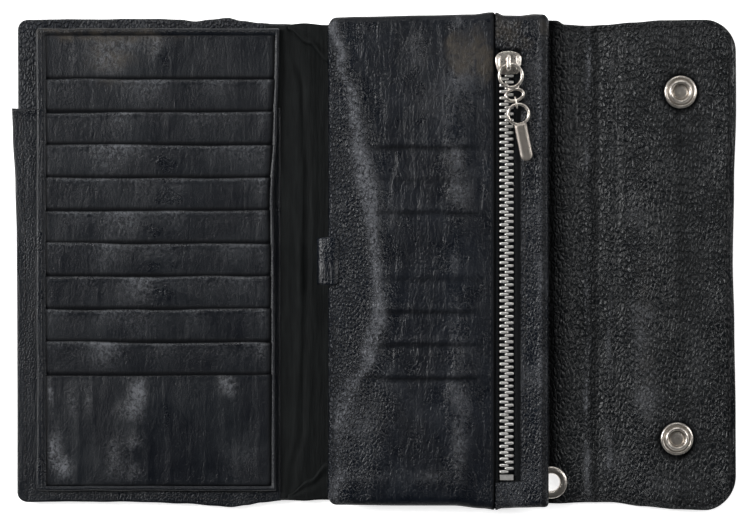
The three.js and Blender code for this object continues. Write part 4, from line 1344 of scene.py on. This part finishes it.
def teeth(name, node, side):
    lo, hi = box(node)
    other = box("zip_teeth_right" if side < 0 else "zip_teeth_left")
    cx = (min(lo[0], other[0][0]) + max(hi[0], other[1][0])) / 2
    cz = (lo[2] + hi[2]) / 2
    y = lo[1] + 1 + (TOOTH_PITCH / 2 if side > 0 else 0)
    verts, faces = [], []
    while y < hi[1] - 0.8:
        tv, tf = tooth(cx, y, cz, side)
        n = len(verts)
        verts += tv
        faces += [[n + i for i in f] for f in tf]
        y += TOOTH_PITCH
    ob = make_mesh(name, verts, faces, mats=[M_TEETH], smooth=False)
    bevel = ob.modifiers.new("soft", "BEVEL")
    bevel.width, bevel.segments, bevel.limit_method = 0.00012, 1, "ANGLE"
    finish_piece(ob, body="leaf", replaces=[node])


teeth("teeth_left", "zip_teeth_left", -1)
teeth("teeth_right", "zip_teeth_right", 1)

for node, mat in (("zip_bottom_stop", M_TEETH), ("slider_under_plate", M_SILVER)):
    ob = frame["nodes"][node]
    ob.data.materials.clear()
    ob.data.materials.append(mat)
    bevel = ob.modifiers.new("soft", "BEVEL")
    bevel.width, bevel.segments = 0.0002, 2

# ------------------------------------------------------------------ turned metal pieces


def turned(name, profile, x, y, mat, body, replaces, slot="silver", segments=64):
    """A profile of (radius, height) points turned about a vertical axis at x, y."""
    verts, faces = [], []
    rows = []
    for r, z in profile:
        if r < 1e-6:
            rows.append([len(verts)])
            verts.append([x, y, z])
        else:
            rows.append(list(range(len(verts), len(verts) + segments)))
            for k in range(segments):
                a = 2 * math.pi * k / segments
                verts.append([x + r * math.cos(a), y + r * math.sin(a), z])
    pairs = list(zip(rows, rows[1:]))
    if profile[0][0] > 1e-6:
        pairs.append((rows[-1], rows[0]))
    for a, b in pairs:
        for k in range(segments):
            m = (k + 1) % segments
            if len(a) == 1:
                faces.append([a[0], b[m], b[k]])
            elif len(b) == 1:
                faces.append([a[k], a[m], b[0]])
            else:
                faces.append([a[k], a[m], b[m], b[k]])
    ob = make_mesh(name, verts, faces, mats=[mat])
    finish_piece(ob, body=body, replaces=replaces)
    return ob


def smooth_profile(points):
    """Rounds the corners of a profile a little by cutting them twice."""
    pts = [np.array(p, float) for p in points]
    for _ in range(2):
        out = [pts[0]]
        for a, b in zip(pts, pts[1:]):
            out += [a * 0.8 + b * 0.2, a * 0.2 + b * 0.8]
        out.append(pts[-1])
        pts = out
    return [tuple(p) for p in pts]


for i, (sx, sy) in enumerate(SOCKETS, 1):
    z = box(f"snap_socket_{i}")[0][2]
    socket = [(0, z), (6.2, z), (6.4, z + 0.25), (6.4, z + 0.7), (6.1, z + 1.15), (5.5, z + 1.3),
              (5.1, z + 0.95),
              (4.9, z + 0.9), (4.6, z + 1.6), (4.15, z + 2.05), (3.7, z + 2.1), (3.3, z + 1.8),
              (3.15, z + 1.2),
              (3.1, z + 0.25), (2.8, z + 0.2), (2.55, z + 0.55), (1.2, z + 0.62), (0, z + 0.6)]
    turned(f"socket_{i}", smooth_profile(socket), sx, sy, M_SILVER, "flap", [f"snap_socket_{i}"])
    cap = [(0, 0.0), (1.6, 0.03), (3.2, 0.2), (4.6, 0.55), (5.7, 1.05), (6.3, 1.55), (6.4, 1.8), (6.2, 1.99),
           (0, 2.0)]
    turned(f"cap_{i}", smooth_profile(cap), sx, sy, M_SILVER, "flap", [f"snap_cap_{i}"])
    lo, hi = box(f"snap_stud_{i}")
    stud = [(0, 0.05), (1.5, 0), (2.15, 0.2), (2.3, 0.6), (2.05, 1.05), (2.0, 1.35), (2.6, 1.5), (5.0, 1.5),
            (5.5, 1.75),
            (5.4, 1.99), (0, 2.0)]
    turned(f"stud_{i}", smooth_profile(stud), (lo[0] + hi[0]) / 2, (lo[1] + hi[1]) / 2, M_SILVER, "front",
           [f"snap_stud_{i}"])

gz = box("grommet_eyelet")[1][2]
eyelet = [(3.4, 0.95), (4.1, 0.95), (4.1, gz - 0.85), (6.2, gz - 0.8), (6.3, gz - 0.55), (6.0, gz - 0.2),
          (5.2, gz + 0.02),
          (4.3, gz), (3.65, gz - 0.25), (3.42, gz - 0.8), (3.4, 0.95)]
turned("eyelet", smooth_profile(eyelet)[:-1], *GROMMET, M_SILVER, "back", ["grommet_eyelet"])
washer = [(3.5, 0.1), (5.4, 0.1), (6.2, 0.4), (6.2, 0.75), (3.5, 0.75), (3.5, 0.1)]
turned("washer", smooth_profile(washer)[:-1], *GROMMET, M_SILVER, "back", ["grommet_washer"])

# ------------------------------------------------------------------ slider and pull


def prism(outline, z0, z1, bevel=0.25):
    """A flat plate with a bevelled rim, as arrays."""
    pts = np.array(outline, float)
    levels = [(z0, bevel), (z0 + bevel * 0.6, 0), (z1 - bevel, 0), (z1 - bevel * 0.3, bevel * 0.35),
              (z1, bevel)]
    verts, n = [], len(pts)
    nxt, prv = np.roll(pts, -1, 0), np.roll(pts, 1, 0)
    tangent = nxt - prv
    normal = np.stack([tangent[:, 1], -tangent[:, 0]], -1)
    normal /= np.linalg.norm(normal, axis=1)[:, None] + 1e-9
    area = 0.5 * np.sum(pts[:, 0] * nxt[:, 1] - nxt[:, 0] * pts[:, 1])
    if area < 0:
        normal = -normal
    for z, inset in levels:
        p = pts - normal * inset
        verts += [[x, y, z] for x, y in p]
    faces = ring_quads(len(levels), n)
    if area <= 0:
        faces = [[a, d, c, b] for a, b, c, d in faces]
    top = list(range((len(levels) - 1) * n, len(levels) * n))
    bottom = list(range(n))[::-1]
    if area < 0:
        top, bottom = top[::-1], bottom[::-1]
    return verts, faces + [top, bottom]


def tube(points, radius, sides=12, closed=False, squash_z=1.0):
    """A round bar along 3-D points; radius is one number or one per point."""
    pts = np.array(points, float)
    n = len(pts)
    radii = np.broadcast_to(radius, n)
    if closed:
        tan = np.roll(pts, -1, 0) - np.roll(pts, 1, 0)
    else:
        tan = np.gradient(pts, axis=0)
    tan /= np.linalg.norm(tan, axis=1)[:, None] + 1e-12
    verts, faces = [], []
    ref = np.array([0.0, 0.0, 1.0]) if abs(tan[0][2]) < 0.9 else np.array([1.0, 0, 0])
    side = np.cross(ref, tan[0])
    side /= np.linalg.norm(side)
    for i in range(n):
        side = side - tan[i] * (side @ tan[i])
        side /= np.linalg.norm(side)
        up = np.cross(tan[i], side)
        for k in range(sides):
            a = 2 * math.pi * k / sides
            verts.append(pts[i] + radii[i] * (math.cos(a) * side + squash_z * math.sin(a) * up))
    last = n if closed else n - 1
    for i in range(last):
        j = (i + 1) % n
        for k in range(sides):
            m = (k + 1) % sides
            faces.append([i * sides + k, i * sides + m, j * sides + m, j * sides + k])
    if not closed:
        faces.append([k for k in range(sides)][::-1])
        faces.append([(n - 1) * sides + k for k in range(sides)])
    return [list(v) for v in verts], faces


def merge(*parts):
    verts, faces = [], []
    for v, f in parts:
        n = len(verts)
        verts += [list(p) for p in v]
        faces += [[n + i for i in face] for face in f]
    return verts, faces


def arc(cx, cy, rx, ry, a0, a1, n, z=0.0):
    return [[cx + rx * math.cos(a), cy + ry * math.sin(a), z] for a in np.linspace(a0, a1, n)]


def silver_piece(name, verts, faces, body, node):
    ob = make_mesh(name, verts, faces, mats=[M_SILVER])
    finish_piece(ob, body=body, replaces=[node])


def slider():
    lo, hi = box("slider_body")
    x, y = (lo[0] + hi[0]) / 2, (lo[1] + hi[1]) / 2
    z0, z1 = lo[2], hi[2]
    half = [(0, 4.45), (1.6, 4.35), (3.2, 3.9), (4.4, 3.1), (5.0, 2.1), (5.1, 0.8), (4.9, -0.8), (4.3, -2.6),
            (3.8, -4.1),
            (3.4, -4.45)]
    pts = [(x + a, y + b) for a, b in half] + [(x - a, y + b) for a, b in half[::-1][:-1]]
    body = prism(pts[::-1], z0, z1, 0.3)
    # raised shoulders either side of the bail
    ribs = []
    for side in (-1, 1):
        ribs.append(tube([[x + side * (2.9 + 0.5 * math.cos(t)), y + 3.0 * math.sin(t) - 0.2, z1 + 0.05]
                          for t in np.linspace(-1.2, 1.2, 9)],
                          [0.15, 0.35, 0.45, 0.5, 0.5, 0.5, 0.45, 0.35, 0.15],
                         sides=10, squash_z=0.6))
    verts, faces = merge(body, *ribs)
    silver_piece("slider_top", verts, faces, "slider", "slider_body")

    lo, hi = box("slider_bail")
    bx = (lo[0] + hi[0]) / 2
    y0, y1, top = lo[1] + 0.45, hi[1] - 0.45, hi[2] - 0.42
    base = lo[2] + 0.05
    path = [[bx, y0, base], [bx, y0, base + 0.9], [bx, y0 + 0.1, top - 0.75], [bx, y0 + 0.55, top - 0.18],
            [bx, y0 + 1.3, top]]
    path += [[bx, v, top] for v in np.linspace(y0 + 2.0, y1 - 2.0, 4)]
    path += [[bx, y1 - 1.3, top], [bx, y1 - 0.55, top - 0.18], [bx, y1 - 0.1, top - 0.75],
             [bx, y1, base + 0.9],
             [bx, y1, base]]
    verts, faces = tube(path, 0.42, sides=14)
    verts = [[bx + (v[0] - bx) * 1.9, v[1], v[2]] for v in verts]
    silver_piece("slider_bridge", verts, faces, "slider", "slider_bail")


slider()

HINGE = joint("pull_swing")
SWING = joint("pendant_swing")
TILT = math.atan2(SWING[0] - HINGE[0], HINGE[1] - SWING[1])
REACH = math.hypot(SWING[0] - HINGE[0], HINGE[1] - SWING[1], HINGE[2] - SWING[2])
DROOP = math.asin((HINGE[2] - SWING[2]) / REACH)


def hang(verts):
    """From the pull's own drawing, which hangs along -Y from its hinge, into the row frame."""
    v = np.array(verts, float)
    c, s = math.cos(TILT), math.sin(TILT)
    x, y, z = v[:, 0] * c - v[:, 1] * s, v[:, 0] * s + v[:, 1] * c, v[:, 2]
    c, s = math.cos(DROOP), math.sin(DROOP)
    y, z = y * c - z * s, y * s + z * c
    return np.stack([x + HINGE[0], y + HINGE[1], z + HINGE[2]], -1)


def pull():
    top = 4.4
    # link: a large wire ring, a plain waist and a small oval eye
    ring = tube(arc(0, -top, 4.42, 4.42, 0, 2 * math.pi, 49)[:-1], 0.66, closed=True, sides=14)
    eye = tube(arc(0, -top - 7.5, 3.45, 2.2, 0, 2 * math.pi, 41)[:-1], 0.6, closed=True, sides=12)
    waist = tube([[t * 2.3, -top - 4.75, 0] for t in np.linspace(-1, 1, 9)],
                 [0.35, 0.5, 0.6, 0.66, 0.7, 0.66, 0.6, 0.5, 0.35], sides=12)
    verts, faces = merge(ring, eye, waist)
    silver_piece("pull_top_link", hang(verts), faces, "pull", "pull_link")

    y0, y1 = -top - 12.0, -top - 8.9
    loop = [[0, y1 - 0.6 + 1.2 * math.cos(t), 1.18 * math.sin(t)]
            for t in np.linspace(-math.pi / 2, math.pi / 2, 11)]
    loop += [[0, y0 + 0.6 - 1.2 * math.cos(t), 1.18 * math.sin(t)]
             for t in np.linspace(math.pi / 2, -math.pi / 2, 11)]
    verts, faces = tube(loop, 0.36, closed=True, sides=12)
    silver_piece("pull_tie_ring", hang(verts), faces, "pendant", "pull_jump_ring")

    # pendant: a wire eye and a plain flat tab with a round end and softened edges
    eye = tube(arc(0, -top - 15.1, 4.0, 3.9, 0, 2 * math.pi, 49)[:-1], 0.62, closed=True, sides=12)
    half, thick, y_top, y_end = 2.45, 0.74, -top - 18.6, -top - 33.3
    rows = [(y, half, thick) for y in np.linspace(y_top, y_end + half, 9)]
    for a in np.linspace(0, math.pi / 2, 13)[1:]:
        w = half * math.cos(a) + 0.06
        rows.append((y_end + half * (1 - math.sin(a)), w, thick * min(1, w)))
    section = [(-1, 0), (-0.94, 0.55), (-0.78, 0.90), (-0.4, 0.98), (0, 1), (0.4, 0.98), (0.78, 0.90),
               (0.94, 0.55),
               (1, 0), (0.94, -0.55), (0.78, -0.90), (0, -1), (-0.78, -0.90), (-0.94, -0.55)]
    m = len(section)
    tab = [[a * w, y, b * t] for y, w, t in rows for a, b in section]
    ends = [list(range(m))[::-1], [(len(rows) - 1) * m + k for k in range(m)]]
    verts, faces = merge(eye, (tab, ring_quads(len(rows), m) + ends))
    silver_piece("pull_tab", hang(verts), faces, "pendant", "pull_pendant")


pull()

# ------------------------------------------------------------------ floor, light, camera


def stage():
    n = Nodes("floor")
    n.bsdf.inputs["Base Color"].default_value = rgb(0.93, 0.93, 0.93)
    n.bsdf.inputs["Emission Color"].default_value = rgb(1, 1, 1)
    n.bsdf.inputs["Emission Strength"].default_value = 0.75
    n.bsdf.inputs["Roughness"].default_value = 0.9
    n.bsdf.inputs["Specular IOR Level"].default_value = 0.1
    me = bpy.data.meshes.new("floor")
    me.from_pydata([(-3, -3, 0), (3, -3, 0), (3, 3, 0), (-3, 3, 0)], [], [(0, 1, 2, 3)])
    me.materials.append(n.mat)
    ob = bpy.data.objects.new("floor", me)
    ob.location.z = -0.0002
    bpy.context.scene.collection.objects.link(ob)
    ob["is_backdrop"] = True


def area_light(name, place, size, watts):
    """A soft box that looks at the middle of the wallet."""
    data = bpy.data.lights.new(name, "AREA")
    data.shape, data.size, data.size_y = "RECTANGLE", size[0], size[1]
    data.energy = watts
    ob = bpy.data.objects.new(name, data)
    bpy.context.scene.collection.objects.link(ob)
    ob.location = place
    ob.rotation_euler = (-Vector(place)).to_track_quat("-Z", "Y").to_euler()


stage()
for light, place, size, watts in (
    ("left_box", (-1.0, 0.25, 0.85), (0.35, 0.8), 17),
    ("right_box", (1.0, 0.3, 0.85), (0.35, 0.8), 5.5),
    ("top_box", (0, 1.1, 0.8), (1.0, 0.4), 4),
):
    area_light(light, place, size, watts)
world = bpy.data.worlds.new("studio")
bpy.context.scene.world = world
world.use_nodes = True
sky = world.node_tree
where = sky.nodes.new("ShaderNodeTexCoord")
height = sky.nodes.new("ShaderNodeSeparateXYZ")
fade = sky.nodes.new("ShaderNodeMapRange")
fade.interpolation_type = "SMOOTHSTEP"
for socket, value in (("From Min", 0.03), ("From Max", 0.34), ("To Min", 0.95), ("To Max", 0.04)):
    fade.inputs[socket].default_value = value
sky.links.new(where.outputs["Generated"], height.inputs[0])
sky.links.new(height.outputs["Z"], fade.inputs["Value"])
sky.links.new(fade.outputs[0], sky.nodes["Background"].inputs[1])
sky.nodes["Background"].inputs[0].default_value = (0.98, 0.99, 1, 1)

cam_data = bpy.data.cameras.new("camera")
cam = bpy.data.objects.new("camera", cam_data)
bpy.context.scene.collection.objects.link(cam)
SENSOR, LENS = 36, 135
WIDTH = 0.291      # metres across the picture, on a plane at LEVEL
LEVEL = 0.008
cam_data.sensor_width, cam_data.lens = SENSOR, LENS
cam.location = (0.0001, 0.0002, LEVEL + WIDTH * LENS / SENSOR)
cam.rotation_euler = (0, 0, 0)
cam_data.clip_start, cam_data.clip_end = 0.05, 20
bpy.context.scene.camera = cam
bpy.context.scene.view_settings.view_transform = "Standard"

lo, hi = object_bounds()
